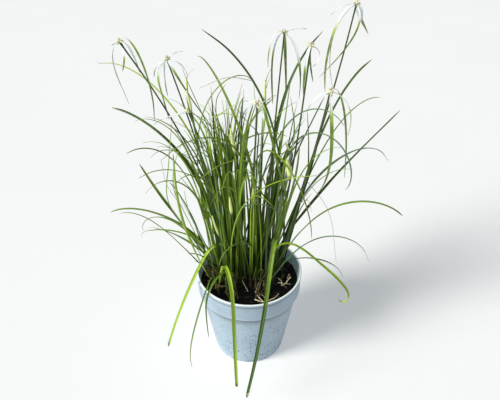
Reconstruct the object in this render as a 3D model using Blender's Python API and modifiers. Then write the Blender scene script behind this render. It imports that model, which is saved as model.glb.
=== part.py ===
"""Potted cyperus: a tuft of white-bracted star sedge in a 12 cm nursery pot.

The pot stands on z = 0 with its axis on the world Z axis. X runs to the viewer's right in the
reference view and Y away from the viewer. Lengths are metres, except in the blade lists, which
are in millimetres and degrees.
"""

from dataclasses import dataclass

import bmesh
import bpy
import numpy as np

# Driving dimensions of the pot
RIM_RADIUS = 0.0600
POT_HEIGHT = 0.1133
BASE_RADIUS = 0.0416
COLLAR_HEIGHT = 0.0243
COLLAR_FOOT_RADIUS = 0.0590
SHOULDER_RADIUS = 0.0562
WALL = 0.0015
FLOOR = 0.0020
BEAD_HEIGHT = 0.0032
BEAD_DEPTH = 0.0010
BEAD_UNDERCUT = 0.0006
LIP_WIDTH = 0.0018
LIP_OVERHANG = 0.0002
EDGE = 0.0008
POT_SIDES = 36
SHARP_ANGLE = 30
MERGE_DISTANCE = 0.0001

# Drainage notches round the foot of the pot
NOTCHES = 8
NOTCH_WIDTH = 0.0060
NOTCH_HEIGHT = 0.0035
NOTCH_REACH = 0.0040
FIRST_NOTCH = -80
OVERCUT = 0.0010

# Soil: its lumps are waves, in radians per metre along X and Y, that grow outside the tuft
SOIL_TOP = 0.0985
SOIL_SIDES = 32
SOIL_RINGS = (0.25, 0.50, 0.72, 0.88)
BRIM_SINK = 0.0010
LUMP_HEIGHT = 0.0013
BROAD_WAVES = (190, 230)
FINE_WAVES = (410, -330)
FINE_SHARE = 0.6
LUMPS_START = 1.1
LUMPS_FULL = 1.3
GAP = 0.0003
SIDE_GAP = 0.0006

# The tuft: shoots stand in staggered rows, inside an ellipse that stays flat
SHOOT_SPACING = 6.2
TUFT_CENTRE = (-0.003, 0.0)
TUFT_RADII = (0.044, 0.036)
CROWN_RADIUS = 0.0088
CROWN_HEIGHT = 0.0060
CROWN_SIDES = 10
CROWN_TAPER = 0.82
ROOT_SINK = 0.0015

# Blades and flower heads
LEAF_THICKNESS = 0.0008
BRACT_THICKNESS = 0.0007
SPIKELET_RADIUS = 0.0036
STEM_RADIUS = 0.0008
STEM_TAPER = (1.15, 0.85)
LEAF_ROOT_WIDTH = 0.72
LEAF_TAPER = 4.0
LEAF_TIP_ROUNDING = 0.8
BRACT_ROOT_WIDTH = 0.55
BRACT_WIDEST = 0.22
BRACT_SWELL = 1.6
BRACT_TAPER = 2.5
PATH_STEPS = 96
LEAF_STEPS = (3, 16)
STEM_STEPS = (4, 9)
BRACT_STEPS = (2, 34)
TUBE_ROUNDING = 1
NARROWEST = 0.0005
FOLD_SHARPNESS = 6
CURL_SHARPNESS = 14
MM = 0.001


@dataclass(frozen=True)
class Blade:
    """One blade, in degrees and millimetres.

    It leaves its root `lean` from upright towards the compass `heading` (0 along +X, 90 along +Y),
    and droops by `droop` more on its way to the tip, gradually as the `bend` power of the length
    run, or all at once round the share `fold` of its length. `swing` turns the heading on the way,
    and `curl` rolls up the last of the tip. `site` is the column and row of its shoot.
    """

    heading: float
    lean: float
    droop: float
    length: float
    bend: float = 1.0
    swing: float = 0.0
    fold: float = 0.0
    curl: float = 0.0
    width: float = 3.0
    site: tuple = (0, 0)


# Leaves that arch out to the left
LEFT_LEAVES = (
    Blade(site=(-4, -5), heading=130, lean=-2, droop=109, bend=1.7, length=335, swing=15, width=3.0),
    Blade(site=(-5, 0), heading=180, lean=1, droop=89, bend=2.1, length=250, swing=-25, width=4.4),
    Blade(site=(-6, 1), heading=205, lean=8, droop=80, bend=3.2, length=240, swing=35, width=3.0),
    Blade(site=(-6, 2), heading=180, lean=19, droop=25, bend=0.6, length=155, swing=-40, width=3.6),
    Blade(site=(2, 5), heading=230, lean=27, droop=72, bend=4.7, length=250, swing=-5, width=2.4),
    Blade(site=(-7, 1), heading=155, lean=14, droop=33, bend=3.0, length=125, width=3.0),
    Blade(site=(-5, 4), heading=180, lean=28, droop=91, bend=1.7, length=160, swing=-10, width=4.2),
    Blade(site=(-6, -1), heading=180, lean=36, droop=72, bend=4.6, length=140, swing=-10, width=2.2),
    Blade(site=(-5, -1), heading=180, lean=-7, droop=110, length=125, width=2.6),
)

# Upright and inward leaves of the middle
MIDDLE_LEAVES = (
    Blade(site=(2, -5), heading=155, lean=-1, droop=107, bend=2.4, length=310, swing=-45, width=3.2),
    Blade(site=(6, -1), heading=205, lean=0, droop=55, bend=2.5, length=315, width=3.6),
    Blade(site=(-6, -3), heading=0, lean=-5, droop=147, bend=6.0, length=280, swing=35, width=3.0),
    Blade(site=(3, 5), heading=25, lean=2, droop=51, bend=4.0, length=280, width=4.2),
    Blade(site=(2, 0), heading=0, lean=2, droop=21, bend=0.6, length=230, width=3.4),
    Blade(site=(-6, -2), heading=240, lean=26, droop=0, length=250, swing=45, width=2.4),
    Blade(site=(4, 2), heading=255, lean=-4, droop=112, bend=2.0, length=255, swing=-25, width=3.4),
    Blade(site=(4, 3), heading=130, lean=-7, droop=116, bend=2.2, length=165, swing=40, width=3.0),
    Blade(site=(-3, -5), heading=285, lean=-7, droop=79, bend=1.3, length=235, swing=45, width=3.2),
    Blade(site=(-6, 3), heading=0, lean=-4, droop=116, bend=3.0, length=225, swing=-5, width=3.0),
    Blade(site=(-2, -1), heading=285, lean=3, droop=37, bend=2.2, length=255, width=4.2),
)

# Leaves that arch out to the right
RIGHT_LEAVES = (
    Blade(site=(6, 1), heading=25, lean=11, droop=52, bend=3.9, length=265, swing=5, width=4.0),
    Blade(site=(3, 0), heading=0, lean=19, droop=89, bend=6.0, length=255, swing=30, width=3.2),
    Blade(site=(4, 4), heading=0, lean=20, droop=21, bend=0.6, length=235, swing=5, width=3.6),
    Blade(site=(5, 3), heading=0, lean=11, droop=136, bend=2.6, length=230, swing=30, width=3.2),
    Blade(site=(6, 2), heading=-25, lean=-4, droop=223, bend=3.5, length=290, swing=-35, width=3.0),
    Blade(site=(-2, 4), heading=-25, lean=14, droop=123, bend=6.0, length=280, swing=-20, width=3.0),
    Blade(site=(3, -1), heading=-25, lean=23, droop=105, bend=3.2, length=210, swing=5, width=3.6),
    Blade(site=(2, -6), heading=-25, lean=25, droop=138, bend=3.9, length=175, swing=5, width=3.0),
    Blade(site=(4, -1), heading=-25, lean=-5, droop=167, bend=0.9, length=120, swing=40, width=2.0),
    Blade(site=(1, 6), heading=270, lean=-7, droop=180, bend=2.0, length=310, swing=30, width=2.6),
)

# Leaves that fold or hang over the rim towards the viewer
FRONT_LEAVES = (
    Blade(site=(5, 1), heading=270, lean=15, droop=137, fold=0.37, length=260, swing=-30, width=5.0),
    Blade(site=(-5, -4), heading=285, lean=25, droop=150, fold=0.42, length=240, width=4.6),
    Blade(site=(-1, -1), heading=255, lean=40, droop=142, fold=0.62, length=170, swing=-25, width=4.0),
    Blade(site=(-6, 0), heading=270, lean=4, droop=186, bend=0.6, length=145, swing=-40, width=2.4),
    Blade(site=(-1, 1), heading=195, lean=19, droop=127, fold=0.35, length=195, swing=45, width=4.4),
    Blade(site=(3, -3), heading=-10, lean=6, droop=120, fold=0.41, length=185, swing=-15, curl=200, width=3.6),
)

# Crowns of young shoots and short inner blades: the crown's middle (X, Y) and its blades
TUFTS = {
    "tuft_back_left": (
        (-25, 13),
        Blade(site=(-4, 3), heading=230, lean=-7, droop=12, bend=1.4, length=200),
        Blade(site=(-3, 2), heading=230, lean=6, droop=0, length=205, swing=25),
        Blade(site=(-3, 3), heading=25, lean=3, droop=63, bend=5.2, length=220, width=2.8),
        Blade(site=(-5, 3), heading=50, lean=-1, droop=31, bend=2.0, length=215, width=2.6),
        Blade(site=(-4, 1), heading=180, lean=-4, droop=39, bend=0.7, length=140, width=3.2),
    ),
    "tuft_front_left": (
        (-23, -14),
        Blade(site=(-3, -2), heading=155, lean=-1, droop=13, bend=0.6, length=170),
        Blade(site=(-3, -3), heading=155, lean=2, droop=22, bend=0.6, length=150, swing=-5),
        Blade(site=(-4, -3), heading=155, lean=30, droop=140, bend=2.8, length=150, swing=5, width=2.4),
        Blade(site=(-4, -2), heading=155, lean=4, droop=82, bend=0.6, length=110, swing=10, width=2.4),
    ),
    "tuft_back_right": (
        (9, 15),
        Blade(site=(2, 2), heading=75, lean=3, droop=51, bend=1.6, length=185, swing=15),
        Blade(site=(2, 4), heading=-50, lean=27, droop=0, length=235, swing=-45),
        Blade(site=(1, 2), heading=50, lean=29, droop=0, length=160, swing=30, width=2.0),
    ),
    "tuft_front_right": (
        (5, -11),
        Blade(site=(0, -3), heading=205, lean=6, droop=16, bend=1.4, length=260, width=2.2),
        Blade(site=(1, -2), heading=25, lean=13, droop=0, length=235, swing=40, width=2.6),
        Blade(site=(0, -1), heading=255, lean=-7, droop=121, bend=2.3, length=280, swing=-30, width=2.6),
        Blade(site=(1, -1), heading=-25, lean=13, droop=0, length=190, swing=-45),
        Blade(site=(1, -3), heading=230, lean=-7, droop=195, bend=2.4, length=120, swing=-15),
    ),
}

# Flower stems, each with the ring of bracts of its head
STEMS = (
    (
        Blade(site=(-4, 5), heading=205, lean=1, droop=28, bend=0.6, length=290, swing=-5),
        Blade(heading=80, lean=68, droop=159, bend=0.4, length=30, swing=-5, width=2.4),
        Blade(heading=175, lean=86, droop=144, bend=0.4, length=60, swing=-55, width=2.2),
        Blade(heading=85, lean=66, droop=90, bend=0.3, length=60, swing=-5, width=2.8),
        Blade(heading=300, lean=50, droop=147, bend=0.9, length=105, swing=5, width=2.8),
        Blade(heading=250, lean=76, droop=18, bend=0.4, length=12, width=2.4),
    ),
    (
        Blade(site=(-3, 0), heading=155, lean=3, droop=18, bend=0.6, length=255, swing=-5),
        Blade(heading=175, lean=116, droop=69, bend=1.6, length=24, width=2.8),
        Blade(heading=260, lean=94, droop=105, fold=0.35, length=80, swing=-5, width=2.8),
        Blade(heading=120, lean=78, droop=129, bend=0.4, length=45, width=2.4),
        Blade(heading=295, lean=92, droop=36, bend=0.3, length=85, swing=25, width=3.0),
        Blade(heading=340, lean=88, droop=90, bend=1.3, length=28, swing=5, width=2.6),
        Blade(heading=60, lean=60, droop=42, bend=0.5, length=26, width=2.2),
    ),
    (
        Blade(site=(3, -5), heading=75, lean=-7, droop=48, bend=1.1, length=285, swing=5),
        Blade(heading=240, lean=58, droop=138, bend=1.1, length=55, swing=10, width=2.2),
        Blade(heading=125, lean=70, droop=129, bend=0.3, length=85, swing=-25, width=2.8),
        Blade(heading=85, lean=82, droop=93, bend=0.3, length=95, swing=-15, width=3.0),
        Blade(heading=315, lean=78, droop=111, bend=0.4, length=70, swing=-25, width=3.0),
        Blade(heading=5, lean=62, droop=39, bend=0.9, length=22, width=2.2),
    ),
    (
        Blade(site=(5, 4), heading=310, lean=11, droop=0, length=280, swing=-30),
        Blade(heading=15, lean=88, droop=156, bend=0.9, length=24, swing=-5, width=2.0),
        Blade(heading=250, lean=70, droop=105, bend=0.5, length=45, swing=15, width=2.6),
        Blade(heading=90, lean=90, droop=63, bend=0.3, length=60, swing=-30, width=2.4),
    ),
    (
        Blade(site=(4, 1), heading=0, lean=15, droop=0, length=305, swing=45),
        Blade(heading=145, lean=86, droop=51, bend=0.6, length=28, width=2.4),
        Blade(heading=235, lean=66, droop=132, bend=0.7, length=100, width=3.0),
        Blade(heading=180, lean=110, droop=90, bend=0.5, length=85, swing=-45, width=2.8),
        Blade(heading=310, lean=94, droop=81, bend=0.4, length=20, swing=10, width=3.4),
        Blade(heading=80, lean=90, droop=48, bend=0.3, length=65, swing=-40, width=3.4),
        Blade(heading=275, lean=100, droop=21, bend=1.4, length=110, swing=-60, width=2.6),
    ),
    (
        Blade(site=(5, 0), heading=310, lean=16, droop=0, length=260, swing=-20),
        Blade(heading=205, lean=86, droop=72, bend=1.2, length=24, swing=5, width=2.4),
        Blade(heading=265, lean=92, droop=120, bend=0.5, length=100, swing=45, width=3.0),
        Blade(heading=65, lean=54, droop=123, bend=0.3, length=145, swing=-10, width=2.8),
        Blade(heading=10, lean=96, droop=99, bend=0.7, length=50, swing=15, width=2.4),
    ),
    (
        Blade(site=(0, 2), heading=285, lean=1, droop=34, bend=0.7, length=270, swing=-15),
        Blade(heading=155, lean=62, droop=39, bend=0.5, length=12, width=2.4),
        Blade(heading=350, lean=88, droop=-57, bend=1.2, length=12, width=2.2),
        Blade(heading=50, lean=90, droop=111, bend=0.4, length=35, width=2.8),
        Blade(heading=305, lean=76, droop=72, fold=0.1, length=70, swing=-15, width=3.0),
        Blade(heading=245, lean=58, droop=75, bend=0.9, length=24, swing=-20, width=2.4),
    ),
    (
        Blade(site=(-4, 0), heading=180, lean=1, droop=18, bend=1.6, length=210),
        Blade(heading=255, lean=66, droop=27, bend=0.5, length=30, swing=-40, width=2.8),
        Blade(heading=210, lean=98, droop=42, bend=1.8, length=40, swing=-70, width=3.0),
        Blade(heading=310, lean=74, droop=21, bend=0.5, length=10, width=2.4),
    ),
)

# Dead roots on the bare soil, as points (X, Y) in millimetres
DEAD_ROOTS = {
    "dead_root_loop": (
        (33, -4), (37, -9), (43, -12), (48, -11), (49.5, -6), (46, -2), (41, -3), (38, -13), (36, -22),
    ),
    "dead_root_fork": ((6, -38), (11, -41), (17, -42), (23, -39), (29, -35), (33, -29)),
}
DEAD_ROOT_RADIUS = 0.0008
DEAD_ROOT_TAPER = 0.35
DEAD_ROOT_STEPS = 2


def srgb(red, green, blue):
    """Linear RGBA of a display colour given in 0 to 255."""
    shares = np.array([red, green, blue]) / 255.0
    linear = np.where(shares <= 0.04045, shares / 12.92, ((shares + 0.055) / 1.055) ** 2.4)
    return (*linear.tolist(), 1.0)


def finish(name, colour, roughness):
    """A plain Principled material."""
    material = bpy.data.materials.new(name)
    material.use_nodes = True
    shader = material.node_tree.nodes["Principled BSDF"]
    shader.inputs["Base Color"].default_value = colour
    shader.inputs["Roughness"].default_value = roughness
    shader.inputs["Metallic"].default_value = 0.0
    material.diffuse_color = colour
    return material


def new_object(name, data, collection, material=None):
    """Links a data block into a collection as an object of that name."""
    made = bpy.data.objects.new(name, data)
    collection.objects.link(made)
    if material:
        data.materials.append(material)
    return made


def as_mesh(source, name, collection, material):
    """Replaces an object by a plain mesh of its evaluated shape, its caps welded."""
    graph = bpy.context.evaluated_depsgraph_get()
    mesh = bpy.data.meshes.new_from_object(source.evaluated_get(graph))
    mesh.transform(source.matrix_world)
    bpy.data.objects.remove(source)
    work = bmesh.new()
    work.from_mesh(mesh)
    bmesh.ops.remove_doubles(work, verts=work.verts, dist=1e-6)
    bmesh.ops.recalc_face_normals(work, faces=work.faces)
    work.to_mesh(mesh)
    work.free()
    mesh.name = name
    mesh.materials.clear()
    return new_object(name, mesh, collection, material)


def turned(name, profile, sides, collection, material):
    """A solid turned about the Z axis from a profile of (radius, height) points."""
    mesh = bpy.data.meshes.new(name)
    points = [(radius, 0.0, height) for radius, height in profile]
    edges = [(i, i + 1) for i in range(len(points) - 1)]
    mesh.from_pydata(points, edges, [])
    made = new_object(name, mesh, collection, material)
    screw = made.modifiers.new("turn", "SCREW")
    screw.angle = 2 * np.pi
    screw.steps = sides
    screw.render_steps = sides
    screw.use_merge_vertices = True
    screw.merge_threshold = MERGE_DISTANCE
    return made


def inner_radius(height):
    """Radius of the pot's inner wall at a height."""
    shoulder = POT_HEIGHT - COLLAR_HEIGHT
    if height < shoulder:
        share = height / shoulder
        return BASE_RADIUS + (SHOULDER_RADIUS - BASE_RADIUS) * share - WALL
    share = (height - shoulder) / COLLAR_HEIGHT
    return SHOULDER_RADIUS - WALL + (RIM_RADIUS - SHOULDER_RADIUS - BEAD_DEPTH) * share


def pot_profile():
    """The pot's section, from the middle of its floor up the inside and down the outside."""
    shoulder = POT_HEIGHT - COLLAR_HEIGHT
    under_bead = POT_HEIGHT - BEAD_HEIGHT
    inside = [(0.0, FLOOR), (inner_radius(FLOOR), FLOOR), (inner_radius(shoulder), shoulder)]
    lip = [
        (inner_radius(POT_HEIGHT) - LIP_OVERHANG, POT_HEIGHT - EDGE),
        (RIM_RADIUS - LIP_WIDTH, POT_HEIGHT),
        (RIM_RADIUS - EDGE, POT_HEIGHT),
        (RIM_RADIUS, POT_HEIGHT - EDGE),
        (RIM_RADIUS, under_bead + BEAD_UNDERCUT),
        (RIM_RADIUS - BEAD_UNDERCUT, under_bead),
    ]
    outside = [
        (COLLAR_FOOT_RADIUS, shoulder + EDGE),
        (COLLAR_FOOT_RADIUS - EDGE, shoulder),
        (SHOULDER_RADIUS, shoulder),
        (BASE_RADIUS, EDGE),
        (BASE_RADIUS - EDGE, 0.0),
        (0.0, 0.0),
    ]
    return inside + lip + outside


def notch_cutters(cutters):
    """One box across the corner of floor and wall for each drainage notch."""
    boxes = []
    for turn in np.radians(FIRST_NOTCH + np.arange(NOTCHES) * 360 / NOTCHES):
        bpy.ops.mesh.primitive_cube_add(size=1.0)
        box = bpy.context.object
        box.name = f"notch_cutter_{len(boxes)}"
        reach = BASE_RADIUS - NOTCH_REACH / 2 + OVERCUT
        box.location = (reach * np.cos(turn), reach * np.sin(turn), NOTCH_HEIGHT / 2 - OVERCUT)
        box.rotation_euler = (0.0, 0.0, turn)
        box.scale = (NOTCH_REACH + 2 * OVERCUT, NOTCH_WIDTH, NOTCH_HEIGHT + 2 * OVERCUT)
        move_to(box, cutters)
        boxes.append(box)
    return boxes


def move_to(helper, collection):
    """Puts a helper object into its own collection and keeps it out of the model."""
    for held in list(helper.users_collection):
        held.objects.unlink(helper)
    collection.objects.link(helper)
    helper.hide_render = True
    helper.display_type = "WIRE"


def make_pot(collection, cutters):
    """The nursery pot, turned, with its drainage notches cut."""
    plastic = finish("pot_plastic", srgb(176, 196, 207), 0.42)
    pot = turned("pot", pot_profile(), POT_SIDES, collection, plastic)
    for box in notch_cutters(cutters):
        cut = pot.modifiers.new(box.name, "BOOLEAN")
        cut.operation = "DIFFERENCE"
        cut.solver = "EXACT"
        cut.object = box
    pot.data.shade_smooth()
    pot.data.set_sharp_from_angle(angle=np.radians(SHARP_ANGLE))
    return pot


def lump(x, y):
    """Height of the soil's lumps over its mean level, nothing inside the tuft."""
    away = np.hypot((x - TUFT_CENTRE[0]) / TUFT_RADII[0], (y - TUFT_CENTRE[1]) / TUFT_RADII[1])
    share = np.clip((away - LUMPS_START) / (LUMPS_FULL - LUMPS_START), 0.0, 1.0)
    broad = np.sin(BROAD_WAVES[0] * x + 1.0) * np.cos(BROAD_WAVES[1] * y)
    fine = np.sin(FINE_WAVES[0] * x + FINE_WAVES[1] * y)
    return LUMP_HEIGHT * share * (broad + FINE_SHARE * fine)


def make_soil(collection):
    """The peat, clear of the pot's wall and floor, with a lumpy top outside the tuft."""
    bottom = FLOOR + GAP
    foot = inner_radius(bottom) - SIDE_GAP
    shoulder = POT_HEIGHT - COLLAR_HEIGHT
    waist = inner_radius(shoulder) - SIDE_GAP
    brim = inner_radius(SOIL_TOP) - SIDE_GAP
    top = [(brim * share, SOIL_TOP) for share in SOIL_RINGS]
    side = [(brim, SOIL_TOP - BRIM_SINK), (waist, shoulder), (foot, bottom)]
    profile = [(0.0, SOIL_TOP), *top, *side, (0.0, bottom)]
    shape = turned("soil_form", profile, SOIL_SIDES, collection, None)
    soil = as_mesh(shape, "soil", collection, finish("peat", srgb(24, 20, 17), 0.95))
    for vertex in soil.data.vertices:
        if vertex.co.z > SOIL_TOP - GAP:
            vertex.co.z += lump(vertex.co.x, vertex.co.y)
    return soil


def site_point(site, height):
    """World position of a shoot's site, given as its column and row in the staggered rows."""
    column, row = site
    x = TUFT_CENTRE[0] + SHOOT_SPACING * MM * (column + 0.5 * (row % 2))
    y = TUFT_CENTRE[1] + SHOOT_SPACING * MM * np.sqrt(3) / 2 * row
    return np.array([x, y, height])


def droop_share(run, blade):
    """Share of the blade's droop reached at each share `run` of its length."""
    if blade.fold:
        return 1.0 - np.exp(-((run / blade.fold) ** FOLD_SHARPNESS))
    return run**blade.bend


def sweep(blade, root, steps):
    """Points along a blade and the level direction across it, closer together where it turns.

    `steps` is the number of steps of a straight blade and the degrees of turn that add a step.
    """
    steps_per_blade, degrees_per_step = steps
    run = np.linspace(0.0, 1.0, PATH_STEPS + 1)
    bent = blade.droop * droop_share(run, blade) + blade.curl * run**CURL_SHARPNESS
    tilt = np.radians(blade.lean + bent)
    turn = np.radians(blade.heading + blade.swing * run)
    ways = np.stack([np.sin(tilt) * np.cos(turn), np.sin(tilt) * np.sin(turn), np.cos(tilt)], axis=1)
    middles = (ways[1:] + ways[:-1]) / 2
    path = root + np.vstack([np.zeros(3), np.cumsum(middles, axis=0)]) * blade.length * MM / PATH_STEPS
    measure = steps_per_blade * run + (bent + abs(blade.swing) * run) / degrees_per_step
    count = int(np.ceil(measure[-1]))
    stations = np.interp(np.linspace(0.0, measure[-1], count + 1), measure, run)
    points = np.stack([np.interp(stations, run, path[:, axis]) for axis in range(3)], axis=1)
    turns = np.interp(stations, run, turn)
    across = np.stack([-np.sin(turns), np.cos(turns), np.zeros(count + 1)], axis=1)
    return stations, points, across


def leaf_widths(stations, width):
    """Width along a leaf: narrow at the root, full in the middle, drawn out to the tip."""
    swell = LEAF_ROOT_WIDTH + (1.0 - LEAF_ROOT_WIDTH) * np.sin(np.pi * stations)
    taper = (1.0 - stations**LEAF_TAPER) ** LEAF_TIP_ROUNDING
    return np.maximum(width * MM * swell * taper, NARROWEST)


def bract_widths(stations, width):
    """Width along a bract: widest close to the head, drawn out to the tip."""
    phase = np.minimum(0.5 + BRACT_SWELL * (stations - BRACT_WIDEST), 1.0)
    swell = BRACT_ROOT_WIDTH + (1.0 - BRACT_ROOT_WIDTH) * np.sin(np.pi * phase)
    return np.maximum(width * MM * swell * (1.0 - stations**BRACT_TAPER), NARROWEST)


def ribbon(name, points, across, widths, thickness, collection, material):
    """A flat strip bent from a grid along a path and given its thickness."""
    count = len(points)
    work = bmesh.new()
    bmesh.ops.create_grid(work, x_segments=1, y_segments=count - 1, size=0.5)
    for vertex in work.verts:
        station = round((vertex.co.y + 0.5) * (count - 1))
        side = 0.5 if vertex.co.x > 0 else -0.5
        vertex.co = points[station] + across[station] * widths[station] * side
    mesh = bpy.data.meshes.new(name)
    work.to_mesh(mesh)
    work.free()
    made = new_object(name, mesh, collection, material)
    solid = made.modifiers.new("thickness", "SOLIDIFY")
    solid.thickness = thickness
    solid.offset = 0.0
    return made


def make_leaf(name, blade, root, collection, material):
    """A leaf blade on its root point."""
    stations, points, across = sweep(blade, root, LEAF_STEPS)
    widths = leaf_widths(stations, blade.width)
    return ribbon(name, points, across, widths, LEAF_THICKNESS, collection, material)


def tube(name, points, radii, collection, material):
    """A round tube through points, as a curve with filled caps."""
    curve = bpy.data.curves.new(name, "CURVE")
    curve.dimensions = "3D"
    curve.bevel_depth = 1.0
    curve.bevel_resolution = TUBE_ROUNDING
    curve.use_fill_caps = True
    spline = curve.splines.new("POLY")
    spline.points.add(len(points) - 1)
    for place, point, radius in zip(spline.points, points, radii):
        place.co = (*point, 1.0)
        place.radius = radius
    return new_object(name, curve, collection, material)


def make_stem(name, blade, collection, material):
    """A flower stem from the soil up to just below its flower head, and the head's centre."""
    root = site_point(blade.site, SOIL_TOP + GAP)
    _, points, _ = sweep(blade, root, STEM_STEPS)
    head = points[-1].copy()
    reach = SPIKELET_RADIUS + GAP
    step = (points[-1] - points[-2]) / np.linalg.norm(points[-1] - points[-2])
    points[-1] = head - step * reach
    radii = STEM_RADIUS * np.linspace(*STEM_TAPER, len(points))
    tube(name, points, radii, collection, material)
    return head


def joined(name, core, operands, cutters, collection, material):
    """One solid of a core and the helper blades in a collection of their own."""
    group = bpy.data.collections.new(f"{name}_blades")
    cutters.children.link(group)
    for helper in operands:
        move_to(helper, group)
    union = core.modifiers.new("blades", "BOOLEAN")
    union.operation = "UNION"
    union.solver = "EXACT"
    union.operand_type = "COLLECTION"
    union.collection = group
    move_to_model(core, collection)
    core.name = name
    core.data.materials.append(material)
    return core


def move_to_model(made, collection):
    """Moves a primitive from the scene's own collection into the model's."""
    for held in list(made.users_collection):
        held.objects.unlink(made)
    collection.objects.link(made)


def make_head(name, centre, bracts, cutters, collection, material):
    """A flower head: a spikelet cluster with its ring of bracts, joined in one solid."""
    blades = []
    for index, bract in enumerate(bracts):
        stations, points, across = sweep(bract, centre, BRACT_STEPS)
        widths = bract_widths(stations, bract.width)
        label = f"{name}_bract_{index}"
        blades.append(ribbon(label, points, across, widths, BRACT_THICKNESS, cutters, None))
    bpy.ops.mesh.primitive_ico_sphere_add(subdivisions=1, radius=SPIKELET_RADIUS, location=centre)
    return joined(name, bpy.context.object, blades, cutters, collection, material)


def make_tuft(name, middle, blades, cutters, collection, material):
    """A crown with the blades that grow from it, joined in one solid."""
    parts = []
    for index, blade in enumerate(blades):
        root = site_point(blade.site, SOIL_TOP + ROOT_SINK)
        parts.append(make_leaf(f"{name}_blade_{index}", blade, root, cutters, None))
    bpy.ops.mesh.primitive_cone_add(
        vertices=CROWN_SIDES,
        radius1=CROWN_RADIUS,
        radius2=CROWN_RADIUS * CROWN_TAPER,
        depth=CROWN_HEIGHT,
        location=(middle[0] * MM, middle[1] * MM, SOIL_TOP + GAP + CROWN_HEIGHT / 2),
    )
    return joined(name, bpy.context.object, parts, cutters, collection, material)


def make_dead_root(name, outline, collection, material):
    """A dry root lying on the lumps of the bare soil, read from a smooth curve through points."""
    corners = np.array(outline) * MM
    knots = np.arange(len(corners))
    run = np.linspace(0, len(corners) - 1, DEAD_ROOT_STEPS * len(corners) + 1)
    flat = np.stack([smooth(knots, corners[:, axis], run) for axis in range(2)], axis=1)
    lie = SOIL_TOP + LUMP_HEIGHT * (1.0 + FINE_SHARE) + DEAD_ROOT_RADIUS + GAP
    points = np.column_stack([flat, np.full(len(flat), lie)])
    radii = DEAD_ROOT_RADIUS * (1.0 - DEAD_ROOT_TAPER * run / run[-1])
    return tube(name, points, radii, collection, material)


def smooth(knots, values, run):
    """Catmull-Rom interpolation of values at whole knots."""
    padded = np.concatenate([[2 * values[0] - values[1]], values, [2 * values[-1] - values[-2]]])
    start = np.minimum(run.astype(int), len(knots) - 2)
    share = run - start
    before, here, there, after = (padded[start + shift] for shift in range(4))
    slope_here = (there - before) / 2
    slope_there = (after - here) / 2
    square, cube = share**2, share**3
    return (
        (2 * cube - 3 * square + 1) * here
        + (cube - 2 * square + share) * slope_here
        + (3 * square - 2 * cube) * there
        + (cube - square) * slope_there
    )


def clear_scene():
    """Removes every object that the scene starts with."""
    for old in list(bpy.data.objects):
        bpy.data.objects.remove(old)


def new_collection(name):
    """A collection linked to the scene."""
    made = bpy.data.collections.new(name)
    bpy.context.scene.collection.children.link(made)
    return made


def main():
    clear_scene()
    plant = new_collection("potted_cyperus")
    cutters = new_collection("cutters")
    green = finish("leaf_green", srgb(81, 106, 41), 0.5)
    stem_green = finish("stem_green", srgb(58, 74, 46), 0.5)
    young = finish("young_shoots", srgb(120, 146, 62), 0.5)
    white = finish("bract_white", srgb(226, 232, 214), 0.6)
    straw = finish("dead_root", srgb(168, 146, 104), 0.8)

    make_pot(plant, cutters)
    make_soil(plant)
    for number, (stem, *bracts) in enumerate(STEMS, 1):
        head = make_stem(f"flower_stem_{number}", stem, plant, stem_green)
        make_head(f"flower_head_{number}", head, bracts, cutters, plant, white)
    leaves = LEFT_LEAVES + MIDDLE_LEAVES + RIGHT_LEAVES + FRONT_LEAVES
    for number, blade in enumerate(leaves, 1):
        root = site_point(blade.site, SOIL_TOP + GAP)
        make_leaf(f"leaf_{number:02d}", blade, root, plant, green)
    for name, (middle, *blades) in TUFTS.items():
        make_tuft(name, middle, blades, cutters, plant, young)
    for name, outline in DEAD_ROOTS.items():
        make_dead_root(name, outline, plant, straw)


main()
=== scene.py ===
"""Looks of the potted star sedge: fine blades, flower heads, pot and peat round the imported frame.

Every blade, bract and stem follows the middle line of its own CAD node, which is read from the
node's mesh. Lengths are metres. X is the viewer's right, Y is away from the viewer and Z is up.
"""

import logging
from dataclasses import dataclass, field
from enum import Enum, IntEnum

import bpy
import numpy as np
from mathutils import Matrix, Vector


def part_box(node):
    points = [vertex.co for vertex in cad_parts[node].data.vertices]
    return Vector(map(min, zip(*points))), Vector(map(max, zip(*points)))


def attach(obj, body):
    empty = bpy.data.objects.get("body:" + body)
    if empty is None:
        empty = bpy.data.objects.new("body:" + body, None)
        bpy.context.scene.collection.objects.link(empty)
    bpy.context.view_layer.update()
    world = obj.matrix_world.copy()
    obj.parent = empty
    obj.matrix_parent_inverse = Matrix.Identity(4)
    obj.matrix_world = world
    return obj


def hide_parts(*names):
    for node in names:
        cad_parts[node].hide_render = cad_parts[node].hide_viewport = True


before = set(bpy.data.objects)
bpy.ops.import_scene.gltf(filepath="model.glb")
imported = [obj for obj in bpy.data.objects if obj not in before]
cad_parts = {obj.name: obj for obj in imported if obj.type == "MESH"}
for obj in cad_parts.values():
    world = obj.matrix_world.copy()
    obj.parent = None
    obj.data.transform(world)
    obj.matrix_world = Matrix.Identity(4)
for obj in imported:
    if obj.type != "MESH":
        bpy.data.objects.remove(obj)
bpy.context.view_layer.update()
MM = 0.001
UP = np.array([0.0, 0.0, 1.0])
FULL_TURN = 2 * np.pi

# A root ring's middle lies this far above its lowest point. From there, the crowns' top is this far
# up and the peat's level this far down.
ROOT_RISE = 0.4 * MM
CROWN_HEIGHT = 6.5 * MM
PEAT_DROP = 0.3 * MM

log = logging.getLogger("potted_sedge")


class Slot(Enum):
    """Material slots of the record."""

    POT = "pot_plastic"
    PEAT = "peat"
    STEM = "stem_green"
    BRACT = "bract_white"
    LEAF = "leaf_green"
    SHOOT = "young_shoots"
    ROOT = "dead_root"


class Look(Enum):
    """Kinds of the fine growth that stands clear of the mass."""

    BLADE = "blade"
    YOUNG = "young"
    PALE = "pale"
    BUD = "bud"
    THREAD = "thread"


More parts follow.
